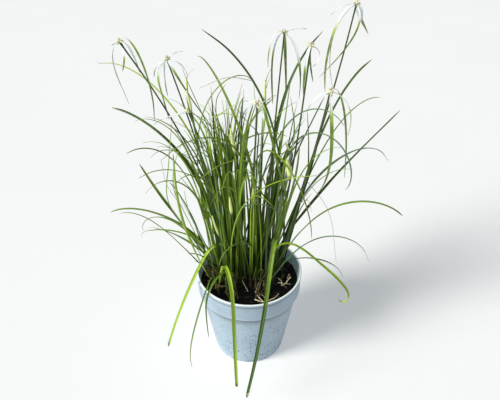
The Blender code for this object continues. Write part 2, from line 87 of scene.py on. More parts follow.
class Seed(IntEnum):
    """Seeds of the random draws. A piece that is one of several adds its place among them."""

    RELIEF = 5
    LEAVES = 7
    CRUMBS = 11
    FIBRES = 23
    LITTER = 36
    SHOOTS = 40
    BRACTS = 60
    SPIKELETS = 80
    CLUMPS = 101
    SHEATHS = 103
    THREADS = 107
    CLUMP_ROLLS = 120


def display(red: float, green: float, blue: float) -> tuple[float, float, float, float]:
    """Linear colour of a display colour given in 0 to 255, by the curve of the sRGB standard."""
    shares = np.array([red, green, blue]) / 255.0
    linear = np.where(shares <= 0.04045, shares / 12.92, ((shares + 0.055) / 1.055) ** 2.4)
    return (*linear.tolist(), 1.0)


def unit(vectors: np.ndarray) -> np.ndarray:
    """Vectors divided by their own length."""
    return vectors / np.maximum(np.linalg.norm(vectors, axis=-1, keepdims=True), 1e-12)


def circle(count: int) -> np.ndarray:
    """Angles spread evenly round a circle, from 0."""
    return FULL_TURN * np.arange(count) / count


def smooth(share: np.ndarray) -> np.ndarray:
    """Smooth step: 0 up to 0, 1 from 1 on, and 3 times the square less 2 times the cube between."""
    held = np.clip(share, 0, 1)
    return held**2 * (3 - 2 * held)


def hermite(knots: np.ndarray, values: np.ndarray, at: np.ndarray) -> np.ndarray:
    """Smooth curve through values: between two knots, the cubic with the central slopes at both.

    Args:
        knots: rising places of the values, shaped (knots,).
        values: what the curve passes through, shaped (knots, channels).
        at: places to read the curve at.

    Returns:
        The curve at each place, shaped (places, channels).
    """
    slopes = np.gradient(values, knots, axis=0)
    here = np.clip(np.searchsorted(knots, at, side="right") - 1, 0, len(knots) - 2)
    span = knots[here + 1] - knots[here]
    share = ((at - knots[here]) / span)[:, None]
    square, cube = share**2, share**3
    return (
        (2 * cube - 3 * square + 1) * values[here]
        + (cube - 2 * square + share) * slopes[here] * span[:, None]
        + (3 * square - 2 * cube) * values[here + 1]
        + (cube - square) * slopes[here + 1] * span[:, None]
    )


@dataclass
class Line:
    """The middle line of one blade as its node has it: a point, a direction and a width a ring."""

    middle: np.ndarray
    across: np.ndarray
    width: np.ndarray

    def extended(self, before: np.ndarray | None = None, after: np.ndarray | None = None) -> "Line":
        """The line with a further point in front of it, behind it, or both."""
        middle, across, width = self.middle, self.across, self.width
        if before is not None:
            middle = np.vstack([before, middle])
            across = np.vstack([across[:1], across])
            width = np.concatenate([width[:1], width])
        if after is not None:
            middle = np.vstack([middle, after])
            across = np.vstack([across, across[-1:]])
            width = np.concatenate([width, width[-1:]])
        return Line(middle, across, width)

    def sunk(self, depth: float) -> "Line":
        """The line begun deeper, straight on behind its root."""
        start = unit(self.middle[0] - self.middle[1]) * depth
        return self.extended(before=self.middle[0] + start)


class NodeMesh:
    """A CAD node's mesh with the corners of its loose triangles merged.

    `ALIKE` is the size of the cell within which corners are one point, `FAR` a number of edges
    that no point is away, and `FLATNESS` how many times further a flat ring's points spread across
    than through, both squared. A root ring's points lie within `ROOT_BAND` of its level, and
    nearer to the axis than the share `INSIDE` of the rim's radius.
    """

    ALIKE = 2e-6
    FAR = 10**6
    FLATNESS = 5.0
    ROOT_BAND = 0.7 * MM
    INSIDE = 0.9

    def __init__(self, name: str) -> None:
        """Reads the node's mesh."""
        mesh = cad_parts[name].data
        points = np.empty(len(mesh.vertices) * 3)
        mesh.vertices.foreach_get("co", points)
        points = points.reshape(-1, 3)
        edges = np.empty(len(mesh.edges) * 2, np.int32)
        mesh.edges.foreach_get("vertices", edges)
        keys = np.round(points / self.ALIKE).astype(np.int64)
        _, first, index = np.unique(keys, axis=0, return_index=True, return_inverse=True)
        self.points = points[first]
        self.edges = index.ravel()[edges].reshape(-1, 2)
        self.start = np.zeros(len(self.points), bool)

    def above(self, level: float) -> "NodeMesh":
        """The mesh without what lies below a level."""
        return self._without(self.points[:, 2] < level)

    def outside(self, centre: np.ndarray, radius: float) -> "NodeMesh":
        """The mesh without what lies in a ball."""
        return self._without(np.linalg.norm(self.points - centre, axis=1) < radius)

    def _without(self, gone: np.ndarray) -> "NodeMesh":
        """Leaves out the points of a core, and starts the lines at the points that touched them."""
        fresh = np.cumsum(~gone) - 1
        held = ~gone[self.edges]
        touching = held.sum(axis=1) == 1
        self.start = np.zeros(int((~gone).sum()), bool)
        self.start[fresh[self.edges[touching][held[touching]]]] = True
        self.edges = fresh[self.edges[held.all(axis=1)]]
        self.points = self.points[~gone]
        return self

    def _spread(self, values: np.ndarray, step: int) -> np.ndarray:
        """Lowest value that reaches each point along the edges, plus a step for each edge crossed."""
        one, other = self.edges.T
        while True:
            lower = values.copy()
            np.minimum.at(lower, one, values[other] + step)
            np.minimum.at(lower, other, values[one] + step)
            if (lower == values).all():
                return values
            values = lower

    def lines(self) -> list[Line]:
        """The middle line of each separate blade.

        Rings are counted by the edges crossed from the start. A ring's middle is the mean of its
        points, its direction the one in which they lie furthest apart, and its width twice their
        spread that way. A ring that isn't flat has the direction of the last flat one before it.
        """
        hops = self._spread(np.where(self.start, 0, self.FAR), 1)
        labels = self._spread(np.arange(len(self.points)), 0)
        return [self._line(labels == label, hops) for label in np.unique(labels)]

    def _line(self, chosen: np.ndarray, hops: np.ndarray) -> Line:
        """The middle line of the chosen points."""
        ring = hops[chosen]
        points = self.points[chosen]
        count = np.bincount(ring)[:, None]
        middle = np.zeros((len(count), 3))
        np.add.at(middle, ring, points)
        middle /= count
        apart = points - middle[ring]
        spread = np.zeros((len(count), 3, 3))
        np.add.at(spread, ring, apart[:, :, None] * apart[:, None, :])
        sizes, ways = np.linalg.eigh(spread / count[:, :, None])
        flat = np.where(sizes[:, 2] > self.FLATNESS * sizes[:, 1], np.arange(len(sizes)), 0)
        across = ways[np.maximum.accumulate(flat), :, 2]
        turned = np.sign((across[1:] * across[:-1]).sum(axis=1))
        across = across * np.concatenate([[1.0], np.cumprod(turned)])[:, None]
        ahead = unit(np.gradient(middle, axis=0)) if len(middle) > 1 else UP[None]
        upper = UP - ahead * ahead[:, 2:]
        side = np.sign((np.cross(ahead, across) * upper).sum())
        return Line(middle, across * (side or 1.0), 2.0 * np.sqrt(sizes[:, 2]))


def node_line(name: str, root_level: float) -> Line:
    """The line of a node that is one blade or stem, from the ring at its root up.

    Args:
        name: the node.
        root_level: height of the root ring.

    Returns:
        The node's line.
    """
    node = NodeMesh(name)
    out = np.hypot(node.points[:, 0], node.points[:, 1])
    inside = out < node.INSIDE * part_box("pot")[1].x
    node.start = inside & (np.abs(node.points[:, 2] - root_level) < node.ROOT_BAND)
    return node.lines()[0]


@dataclass
class Strands:
    """Many blades or threads of as many stations each, with a tone from 0 to 1 for each of them.

    A blade has its full width from the share `FULL_FROM` of its length to the share `FULL_TO`.
    """

    middle: np.ndarray
    across: np.ndarray
    width: np.ndarray
    tone: np.ndarray

    FULL_FROM = 0.36
    FULL_TO = 0.58

    @classmethod
    def along(cls, lines: list[Line], stations: int, tone: np.ndarray) -> "Strands":
        """Strands on smooth curves through the lines, with evenly spaced stations."""
        middles, acrosses, widths = [], [], []
        for line in lines:
            steps = np.linalg.norm(np.diff(line.middle, axis=0), axis=1)
            knots = np.concatenate([[0.0], np.cumsum(steps)])
            at = np.linspace(0.0, knots[-1], stations)
            middles.append(hermite(knots, line.middle, at))
            acrosses.append(unit(hermite(knots, line.across, at)))
            widths.append(np.interp(at, knots, line.width))
        return cls(np.array(middles), np.array(acrosses), np.array(widths), np.asarray(tone, float))

    @property
    def share(self) -> np.ndarray:
        """Share of the length at each station."""
        return np.linspace(0.0, 1.0, self.middle.shape[1])[None, :]

    @property
    def length(self) -> np.ndarray:
        """Length of each strand."""
        return np.linalg.norm(np.diff(self.middle, axis=1), axis=2).sum(axis=1)

    def frames(self) -> tuple[np.ndarray, np.ndarray, np.ndarray]:
        """Unit vectors ahead, across and out of the upper face at each station."""
        ahead = unit(np.gradient(self.middle, axis=1))
        across = unit(self.across - ahead * (self.across * ahead).sum(axis=2, keepdims=True))
        return ahead, across, np.cross(ahead, across)

    def blades(self, widest: np.ndarray, taper: float = 0.5) -> "Strands":
        """The strands with a blade's outline.

        It grows from half its width at the root to the whole, stays even, and narrows to the tip,
        each by a smooth step.

        Args:
            widest: greatest width of each strand.
            taper: share of its width that a blade loses before its very tip.

        Returns:
            The strands with that width.
        """
        rise = smooth(self.share / self.FULL_FROM)
        fall = smooth((self.share - self.FULL_TO) / (1.0 - self.FULL_TO))
        outline = (0.5 + 0.5 * rise) * (1.0 - taper * fall)
        return Strands(self.middle, self.across, np.reshape(widest, (-1, 1)) * outline, self.tone)

    def twisted(
        self, amount: np.ndarray, waves: float, start: np.ndarray, turned: np.ndarray | float = 0.0
    ) -> "Strands":
        """The strands rolled about their own line by amount times the sine of waves along it.

        Args:
            amount: largest roll of each strand, in radians.
            waves: waves along the whole length.
            start: where in its wave each strand begins, in radians.
            turned: even roll of them all, or of each, in radians.

        Returns:
            The strands with their across directions rolled.
        """
        _, across, upper = self.frames()
        roll = amount[:, None] * np.sin(FULL_TURN * waves * self.share + start[:, None])
        roll = (roll + np.reshape(turned, (-1, 1)))[..., None]
        return Strands(self.middle, across * np.cos(roll) + upper * np.sin(roll), self.width, self.tone)


@dataclass(frozen=True)
class Section:
    """Cross-section of a blade. Its shares are of half the width, its web and edge in metres.

    `channel` is how high its sides stand, `keel` how deep its middle hangs, `web` its thickness,
    `wrap` how much more it closes round the shoot at the root, `tip` the power that blunts its
    end, and `edge` half the width that is left there.
    """

    corners: int = 12
    channel: float = 0.62
    keel: float = 0.16
    web: float = 0.30 * MM
    wrap: float = 0.7
    tip: float = 24.0
    edge: float = 0.10 * MM

    def rings(self, strands: Strands) -> np.ndarray:
        """Points round each station, shaped (strands, stations, corners, 3).

        Round the angle a, the point lies cos a of the half width across. Out of the face it lies
        sin a of half the web, plus the channel times the distance from the middle to the power 1.2
        less 0.4, less the keel, which fades within 0.3 of the half width. The wrap adds to the
        channel, draws the sides in by 0.35 of itself and fades within a twentieth of the length.
        """
        _, across, upper = strands.frames()
        share = strands.share[..., None]
        angle = circle(self.corners)
        side, face = np.cos(angle), np.sin(angle)
        half = strands.width[..., None] / 2 * (1.0 - share**self.tip) + self.edge
        wrap = self.wrap * np.exp(-share / 0.05)
        keel = self.keel * np.exp(-((side / 0.3) ** 2)) * (face < 0)
        raised = (self.channel + wrap) * (np.abs(side) ** 1.2 - 0.4)
        out = half * raised + self.web / 2 * face - half * keel
        spread = half * side * (1.0 - 0.35 * wrap)
        points = strands.middle[:, :, None] + across[:, :, None] * spread[..., None]
        return points + upper[:, :, None] * out[..., None]

    def mesh(self, name: str, strands: Strands, **given: np.ndarray) -> bpy.types.Object:
        """One closed mesh of blades, with any given attributes a strand."""
        return closed_mesh(name, self.rings(strands), self.traits(strands, **given))

    def traits(self, strands: Strands, **given: np.ndarray) -> dict[str, np.ndarray]:
        """Attributes that the finishes read, one value for each point, with any given ones a strand.

        Args:
            strands: the strands that the rings were made of.
            given: further attributes, each with a value for every strand.

        Returns:
            The attributes, each shaped (strands, stations, corners).
        """
        shape = (*strands.middle.shape[:2], self.corners)
        length = strands.length[:, None, None]
        share = strands.share[..., None]
        values = {"along": share, "across": np.cos(circle(self.corners))}
        values |= {"tip_gap": (1.0 - share) * length, "root_gap": share * length}
        values |= {"tone": strands.tone[:, None, None], "fade": np.zeros((1, 1, 1))}
        values |= {name: np.asarray(each)[:, None, None] for name, each in given.items()}
        return {name: np.broadcast_to(each, shape) for name, each in values.items()}


def round_rings(strands: Strands, corners: int, lobes: float = 0.0) -> np.ndarray:
    """Points round each station of a stem or thread, of radius half the width.

    The radius is larger by the share `lobes` times the cosine of three times the angle.
    """
    _, across, upper = strands.frames()
    angle = circle(corners)
    radius = strands.width[..., None] / 2 * (1.0 + lobes * np.cos(3 * angle))
    around = across[:, :, None] * np.cos(angle)[:, None] + upper[:, :, None] * np.sin(angle)[:, None]
    return strands.middle[:, :, None] + around * radius[..., None]


@dataclass
class Growth:
    """Blades grown by one formula, with a value for each blade.

    A blade leaves its root `lean` from upright towards `heading`, and tilts by `droop` more as the
    power `bend` of the share of its length, while `swing` turns its heading. Angles are radians.
    `SWELL` is the share of the width that comes and goes along the blade by a sine.
    """

    SWELL = 0.34

    root: np.ndarray
    heading: np.ndarray
    lean: np.ndarray
    droop: np.ndarray
    bend: np.ndarray
    swing: np.ndarray
    length: np.ndarray
    width: np.ndarray
    tone: np.ndarray

    @classmethod
    def lying(
        cls, root: np.ndarray, rng: np.random.Generator, lengths: tuple[float, float], width: float
    ) -> "Growth":
        """Strands that lie level from their roots, each turning by up to 2 radians either way.

        Args:
            root: where each of them begins.
            rng: the generator of the draws.
            lengths: the shortest and the longest.
            width: the mean width, which a strand's own differs from by up to 0.4 of it.

        Returns:
            The strands' growth.
        """
        short, long = lengths
        count = len(root)
        level = np.full(count, np.pi / 2)
        return cls(
            root=root,
            heading=rng.random(count) * FULL_TURN,
            lean=level,
            droop=np.zeros(count),
            bend=np.ones(count),
            swing=(rng.random(count) - 0.5) * 4.0,
            length=short + (long - short) * rng.random(count),
            width=width * (0.6 + 0.8 * rng.random(count)),
            tone=rng.random(count),
        )

    def strands(self, stations: int) -> Strands:
        """The blades' middle lines, summed up step by step along the formula's directions.

        The width swells by a sine to its whole at a third of the length and sinks back by three
        quarters of it. The tip closes as the power 0.7 of 1 less the fifth power of the share of
        the length.
        """
        share = np.linspace(0.0, 1.0, stations)[None, :]
        tilt = self.lean[:, None] + self.droop[:, None] * share ** self.bend[:, None]
        turn = self.heading[:, None] + self.swing[:, None] * share
        level = np.sin(tilt)
        ways = np.stack([level * np.cos(turn), level * np.sin(turn), np.cos(tilt)], axis=-1)
        steps = (ways[:, 1:] + ways[:, :-1]) / 2 * (self.length / (stations - 1))[:, None, None]
        path = np.concatenate([np.zeros((len(steps), 1, 3)), np.cumsum(steps, axis=1)], axis=1)
        across = np.stack([-np.sin(turn), np.cos(turn), np.zeros_like(turn)], axis=-1)
        swell = np.sin(np.pi * np.minimum(share * 1.2 + 0.1, 1.0))
        shape = (1.0 - self.SWELL + self.SWELL * swell) * (1.0 - share**5) ** 0.7
        return Strands(self.root[:, None] + path, across, self.width[:, None] * shape, self.tone)


def round_traits(strands: Strands, corners: int) -> dict[str, np.ndarray]:
    """Attributes of a stem or thread, with the angle round it in place of the share across."""
    traits = Section(corners=corners).traits(strands)
    return traits | {"across": np.broadcast_to(circle(corners), traits["across"].shape)}


def closed_mesh(
    name: str, rings: np.ndarray, traits: dict[str, np.ndarray] | None = None
) -> bpy.types.Object:
    """Closed tubes: each ring is joined to the next by quads, the first and the last to a pole.

    Args:
        name: the piece's name.
        rings: points, shaped (tubes, rings, corners, 3).
        traits: attributes, each shaped (tubes, rings, corners).

    Returns:
        The new object, at the origin, with its faces outwards.
    """
    index = np.arange(rings[..., 0].size).reshape(rings.shape[:3])
    poles = index.size + np.arange(2 * len(rings)).reshape(-1, 2, 1) + np.zeros(rings.shape[2], int)
    following = np.roll(index, -1, axis=2)
    quads = np.stack([index[:, :-1], following[:, :-1], following[:, 1:], index[:, 1:]], axis=-1)
    first = np.stack([poles[:, 0], following[:, 0], index[:, 0]], axis=-1)
    last = np.stack([poles[:, 1], index[:, -1], following[:, -1]], axis=-1)
    corners = np.concatenate([quads.ravel(), first.ravel(), last.ravel()])
    sides = np.repeat([4, 3], [quads.size // 4, (first.size + last.size) // 3])
    points = np.concatenate([rings.reshape(-1, 3), rings[:, [0, -1]].mean(axis=2).reshape(-1, 3)])

    mesh = bpy.data.meshes.new(name)
    mesh.vertices.add(len(points))
    mesh.vertices.foreach_set("co", points.ravel())
    mesh.loops.add(len(corners))
    mesh.loops.foreach_set("vertex_index", corners.astype(np.int32))
    mesh.polygons.add(len(sides))
    mesh.polygons.foreach_set("loop_start", (np.cumsum(sides) - sides).astype(np.int32))
    mesh.update(calc_edges=True)
    mesh.validate()
    mesh.shade_smooth()
    for label, values in (traits or {}).items():
        ends = values[:, [0, -1]].mean(axis=2)
        held = mesh.attributes.new(label, "FLOAT", "POINT")
        every = np.concatenate([values.ravel(), ends.ravel()]).astype(np.float32)
        held.data.foreach_set("value", every)
    made = bpy.data.objects.new(name, mesh)
    bpy.context.scene.collection.objects.link(made)
    return made


def round_mesh(name: str, strands: Strands, corners: int, lobes: float = 0.0) -> bpy.types.Object:
    """One closed mesh of stems or threads."""
    return closed_mesh(name, round_rings(strands, corners, lobes), round_traits(strands, corners))


def settle(piece: bpy.types.Object, slot: Slot, finish: bpy.types.Material, *nodes: str) -> None:
    """Dresses a piece, rides it on the one body and lets it stand for its CAD nodes.

    Args:
        piece: the new piece.
        slot: the record's slot for the piece; not used.
        finish: its material.
        nodes: the CAD nodes that it replaces.
    """
    piece.data.materials.clear()
    piece.data.materials.append(finish)
    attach(piece, "root")
    if nodes:
        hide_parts(*nodes)
    log.info("%s: %d faces", piece.name, len(piece.data.polygons))


class Value:
    """A shader socket that takes part in arithmetic: an expression on it adds its Math nodes."""

    def __init__(self, shader: "Shader", socket: bpy.types.NodeSocket) -> None:
        """Wraps an output socket of the shader's tree."""
        self.shader = shader
        self.socket = socket

    def __add__(self, other: "Value | float") -> "Value":
        """Sum."""
        return self.shader.math("ADD", self, other)

    def __sub__(self, other: "Value | float") -> "Value":
        """Difference."""
        return self.shader.math("SUBTRACT", self, other)

    def __rsub__(self, other: float) -> "Value":
        """Difference from a number."""
        return self.shader.math("SUBTRACT", other, self)

    def __mul__(self, other: "Value | float") -> "Value":
        """Product."""
        return self.shader.math("MULTIPLY", self, other)

    def __truediv__(self, other: "Value | float") -> "Value":
        """Quotient."""
        return self.shader.math("DIVIDE", self, other)

    def __pow__(self, other: "Value | float") -> "Value":
        """Power."""
        return self.shader.math("POWER", self, other)

    __radd__ = __add__
    __rmul__ = __mul__

    def size(self) -> "Value":
        """The value without its sign."""
        return self.shader.math("ABSOLUTE", self)

    def wave(self) -> "Value":
        """Sine, moved to run from 0 to 1."""
        return self.shader.math("SINE", self) * 0.5 + 0.5

    def step(self, low: "Value | float", high: "Value | float") -> "Value":
        """Smooth step from 0 at low to 1 at high, which may be the smaller one."""
        inputs = {"Value": self, "From Min": low, "From Max": high}
        return self.shader.node("ShaderNodeMapRange", inputs, interpolation_type="SMOOTHSTEP")

    def band(self, start: float, full: float, fading: float, end: float) -> "Value":
        """1 from full to fading and 0 outside start to end, with smooth steps between."""
        return self.step(start, full) * self.step(end, fading)


class Shader:
    """A material in the making, with one Principled surface."""

    def __init__(self, name: str) -> None:
        """Starts the material with its plain surface."""
        self.material = bpy.data.materials.new(name)
        self.material.use_nodes = True
        self.nodes = self.material.node_tree.nodes
        self.links = self.material.node_tree.links
        self.surface = self.nodes["Principled BSDF"]

    def _feed(self, socket: bpy.types.NodeSocket, value: object) -> None:
        """Links a value to a socket, or sets a number or colour on it."""
        if isinstance(value, Value):
            self.links.new(value.socket, socket)
        else:
            socket.default_value = value

    def node(self, kind: str, inputs: dict, output: int | str = 0, **settings: object) -> Value:
        """Adds any node.

        Args:
            kind: the node's type.
            inputs: numbers, colours or values by the socket's name or number.
            output: the output socket's name or number.
            settings: the node's own settings.

        Returns:
            The output as a value.
        """
        made = self.nodes.new(kind)
        for setting, value in settings.items():
            setattr(made, setting, value)
        for socket, value in inputs.items():
            self._feed(made.inputs[socket], value)
        return Value(self, made.outputs[output])

    def math(self, operation: str, *values: "Value | float") -> Value:
        """A Math node on one or two values."""
        return self.node("ShaderNodeMath", dict(enumerate(values)), operation=operation)

    def blend(self, share: Value, first: object, second: object) -> Value:
        """Mix of two colours: the first at share 0, the second at share 1."""
        inputs = {0: share, 6: first, 7: second}
        return self.node("ShaderNodeMix", inputs, 2, data_type="RGBA", clamp_factor=True)

    def trait(self, name: str) -> Value:
        """An attribute of the mesh."""
        return self.node("ShaderNodeAttribute", {}, "Fac", attribute_name=name)

    def place(self, stretch: float = 1.0) -> Value:
        """Object coordinates. A pattern on them is drawn out upright when the stretch is under 1."""
        spot = self.node("ShaderNodeTexCoord", {}, "Object")
        return self.node("ShaderNodeMapping", {"Vector": spot, "Scale": (1.0, 1.0, stretch)})

    def height(self) -> Value:
        """Height above the surface that the pot stands on, in metres."""
        spot = self.node("ShaderNodeTexCoord", {}, "Object")
        return self.node("ShaderNodeSeparateXYZ", {0: spot}, "Z")

    def noise(self, scale: float, detail: float, stretch: float = 1.0, rough: float = 0.55) -> Value:
        """Fractal noise from 0 to 1, scale features a metre, in so many octaves of detail."""
        inputs = {"Vector": self.place(stretch), "Scale": scale, "Detail": detail, "Roughness": rough}
        return self.node("ShaderNodeTexNoise", inputs)

    def spots(self, scale: float, size: float, kept: float) -> Value:
        """Round spots, about scale of them a metre, of which the share kept is there.

        Args:
            scale: cells a metre.
            size: a spot's radius as a share of its cell.
            kept: share of the cells that hold a spot.

        Returns:
            1 inside a spot and 0 outside.
        """
        inputs = {"Vector": self.place(), "Scale": scale}
        near = self.node("ShaderNodeTexVoronoi", inputs, "Distance")
        chance = self.node("ShaderNodeTexVoronoi", inputs, "Color")
        drawn = self.node("ShaderNodeSeparateColor", {0: chance}, 0)
        radius = drawn * size / kept
        return near.step(radius + 0.06, radius) * drawn.step(kept, kept - 0.01)

    def bump(self, height: Value, distance: float, strength: float = 1.0) -> Value:
        """Normal of a relief whose full height is the distance in metres."""
        inputs = {"Strength": strength, "Distance": distance, "Height": height}
        return self.node("ShaderNodeBump", inputs)

    def done(
        self, colour: Value, roughness: Value, normal: Value | None = None, **numbers: float
    ) -> bpy.types.Material:
        """Feeds the surface and returns the material.

        Args:
            colour: base colour.
            roughness: roughness.
            normal: a bump's normal.
            numbers: plain numbers by the surface's socket, with _ for a space.

        Returns:
            The finished material.
        """
        self._feed(self.surface.inputs["Base Color"], colour)
        self._feed(self.surface.inputs["Roughness"], roughness)
        if normal is not None:
            self._feed(self.surface.inputs["Normal"], normal)
        for name, number in numbers.items():
            self.surface.inputs[name.replace("_", " ")].default_value = number
        return self.material


@dataclass(frozen=True)
class BladeFinish:
    """Living blade: two greens by tone, fine veins, pale midrib and sheath, drying tip."""

    name: str
    deep: tuple
    bright: tuple
    # Pale midrib colour, partly a painted highlight along the fold.
    midrib: tuple = display(172, 200, 88)
    sheath: tuple = display(98, 108, 52)
    # Colour of the painted shade at the root end.
    shade: tuple = display(28, 44, 16)
    dry: tuple = display(122, 124, 58)
    dead: tuple = display(92, 80, 56)
    veins: float = 34.0
    painted_shade_length: float = 85 * MM
    sheath_length: float = 14 * MM
    dry_length: float = 8 * MM
    roughness: float = 0.36

    def material(self) -> bpy.types.Material:
        """Builds the material."""
        s = Shader(self.name)
        across, along, from_root = s.trait("across"), s.trait("along"), s.trait("root_gap")
        mottle = s.noise(120, 5)
        streak = s.noise(900, 3, 0.06)
        tone = s.trait("tone") - s.trait("fade") * along.step(0.35, 0.85)
        tone = tone + (mottle - 0.5) * 0.55 + (streak - 0.5) * 0.25
        colour = s.blend(tone, self.deep, self.bright)
        vein = (across * self.veins).wave()
        colour = s.blend(vein * 0.30, colour, self.deep)
        # A pale line down the middle: the midrib, and partly a painted highlight along the fold.
        colour = s.blend(across.size().step(0.16, 0.03) * 0.35, colour, self.midrib)
        # Painted shade at the root end, where the blades crowd round it; bright blades get less of it.
        painted_shade = from_root.step(self.painted_shade_length, 10 * MM) * (0.78 - s.trait("tone") * 0.3)
        colour = s.blend(painted_shade, colour, self.shade)
        colour = s.blend(from_root.step(self.sheath_length, 3 * MM) * 0.5, colour, self.sheath)
        from_tip = s.trait("tip_gap") + (mottle - 0.5) * 0.006
        colour = s.blend(from_tip.step(self.dry_length, self.dry_length * 0.3), colour, self.dry)
        colour = s.blend(from_tip.step(self.dry_length * 0.35, 0.0), colour, self.dead)
        fleck = s.spots(170, 0.16, 0.10)
        colour = s.blend(fleck * 0.6, colour, self.dry)
        roughness = mottle * 0.16 + self.roughness + from_tip.step(self.dry_length, 0.0) * 0.25
        relief = vein * 0.6 + mottle * 0.4
        return s.done(colour, roughness, s.bump(relief, 0.06 * MM, 0.7), Specular_IOR_Level=0.36)


@dataclass(frozen=True)
class BractFinish:
    """Bract: white from the head on, then yellow-green, green, and dry at the tip.

    The white ends at the share `white_to` of the length, an attribute, unevenly.
    """

    name: str
    white: tuple = display(244, 249, 249)
    # The white's shaded copy, painted into the veins and mottling as shade.
    shade: tuple = display(224, 234, 237)
    turn: tuple = display(158, 184, 72)
    green: tuple = display(74, 104, 34)
    dead: tuple = display(116, 108, 90)
    base: tuple = display(206, 214, 160)
    veins: float = 26.0

    def material(self) -> bpy.types.Material:
        """Builds the material."""
        s = Shader(self.name)
        along = s.trait("along")
        mottle = s.noise(160, 5)
        vein = (s.trait("across") * self.veins).wave()
        past = along - (s.trait("white_to") + (mottle - 0.5) * 0.10 + (vein - 0.5) * 0.06)
        green = s.blend(mottle.step(0.35, 0.7) * 0.5 + vein * 0.2, self.green, self.turn)
        # Painted shade: the veins and mottling take the white's shaded copy.
        colour = s.blend(vein * 0.35 + mottle * 0.15, self.white, self.shade)
        colour = s.blend(along.step(0.10, 0.0), colour, self.base)
        colour = s.blend(past.step(-0.02, 0.07), colour, self.turn)
        colour = s.blend(past.step(0.05, 0.20), colour, green)
        colour = s.blend(s.trait("tip_gap").step(7 * MM, 0.5 * MM), colour, self.dead)
        return s.done(colour, mottle * 0.15 + 0.48, s.bump(vein, 0.05 * MM, 0.6))


@dataclass(frozen=True)
class BudFinish:
    """Young shoot still in its sheath: a green stem that ends in a pale ribbed sheath."""

    name: str
    stem: tuple = display(58, 84, 28)
    sheath: tuple = display(196, 214, 90)
    pale: tuple = display(244, 248, 186)
    tip: tuple = display(176, 170, 84)
    # Colour of the painted shade at the root end.
    shade: tuple = display(26, 40, 14)
    ribs: float = 7.0

    def material(self) -> bpy.types.Material:
        """Builds the material."""
        s = Shader(self.name)
        mottle = s.noise(140, 5)
        rib = (s.trait("across") * self.ribs).wave()
        sheath = s.blend(s.trait("tone") + (mottle - 0.5) * 0.6 - rib * 0.2, self.sheath, self.pale)
        colour = s.blend(s.trait("sheath").step(0.05, 0.35), self.stem, sheath)
        # Painted shade at the root end, darkest near the peat.
        colour = s.blend(s.trait("root_gap").step(75 * MM, 8 * MM) * 0.8, colour, self.shade)
        colour = s.blend(s.trait("tip_gap").step(2 * MM, 0.3 * MM) * 0.5, colour, self.tip)
        return s.done(colour, mottle * 0.15 + 0.4, s.bump(rib, 0.06 * MM, 0.7))


@dataclass(frozen=True)
class StemFinish:
    """Three-sided culm: dark green with fine ribs, brown at its foot."""

    name: str
    dark: tuple = display(38, 54, 20)
    light: tuple = display(84, 110, 36)
    foot: tuple = display(104, 84, 56)
    ribs: float = 30.0

    def material(self) -> bpy.types.Material:
        """Builds the material."""
        s = Shader(self.name)
        mottle = s.noise(90, 5, 0.3)
        rib = (s.trait("across") * self.ribs).wave()
        colour = s.blend(mottle.step(0.35, 0.75) * 0.7 + rib * 0.2, self.dark, self.light)
        colour = s.blend(s.trait("root_gap").step(24 * MM, 6 * MM) * 0.7, colour, self.foot)
        return s.done(colour, mottle * 0.2 + 0.36, s.bump(rib, 0.05 * MM, 0.8))


@dataclass(frozen=True)
class DryFinish:
    """Dry growth: threads, sheaths, roots and litter in straw and grey with brown streaks."""

    name: str
    light: tuple
    dark: tuple
    roughness: float = 0.8

    def material(self) -> bpy.types.Material:
        """Builds the material."""
        s = Shader(self.name)
        mottle = s.noise(260, 6)
        streak = s.noise(1400, 3, 0.15)
        share = mottle.step(0.3, 0.7) * 0.6 + streak * 0.3 + (s.trait("tone") - 0.5) * 0.5
        colour = s.blend(share, self.light, self.dark)
        return s.done(colour, streak * 0.15 + self.roughness, s.bump(streak, 0.08 * MM))


@dataclass(frozen=True)
class SpikeletFinish:
    """Spikelet: cream scales with a green keel low down and brown edges."""

    name: str
    cream: tuple = display(228, 226, 198)
    green: tuple = display(120, 132, 70)
    brown: tuple = display(130, 112, 78)

    def material(self) -> bpy.types.Material:
        """Builds the material."""
        s = Shader(self.name)
        along, scale = s.trait("along"), s.trait("scale")
        grain = s.noise(1200, 4)
        colour = s.blend(along.step(0.35, 0.0), self.cream, self.green)
        colour = s.blend(scale.step(0.72, 1.0) * 0.7, colour, self.brown)
        colour = s.blend(grain.step(0.55, 0.8) * 0.4, colour, self.brown)
        return s.done(colour, grain * 0.1 + 0.6, s.bump(grain, 0.06 * MM))


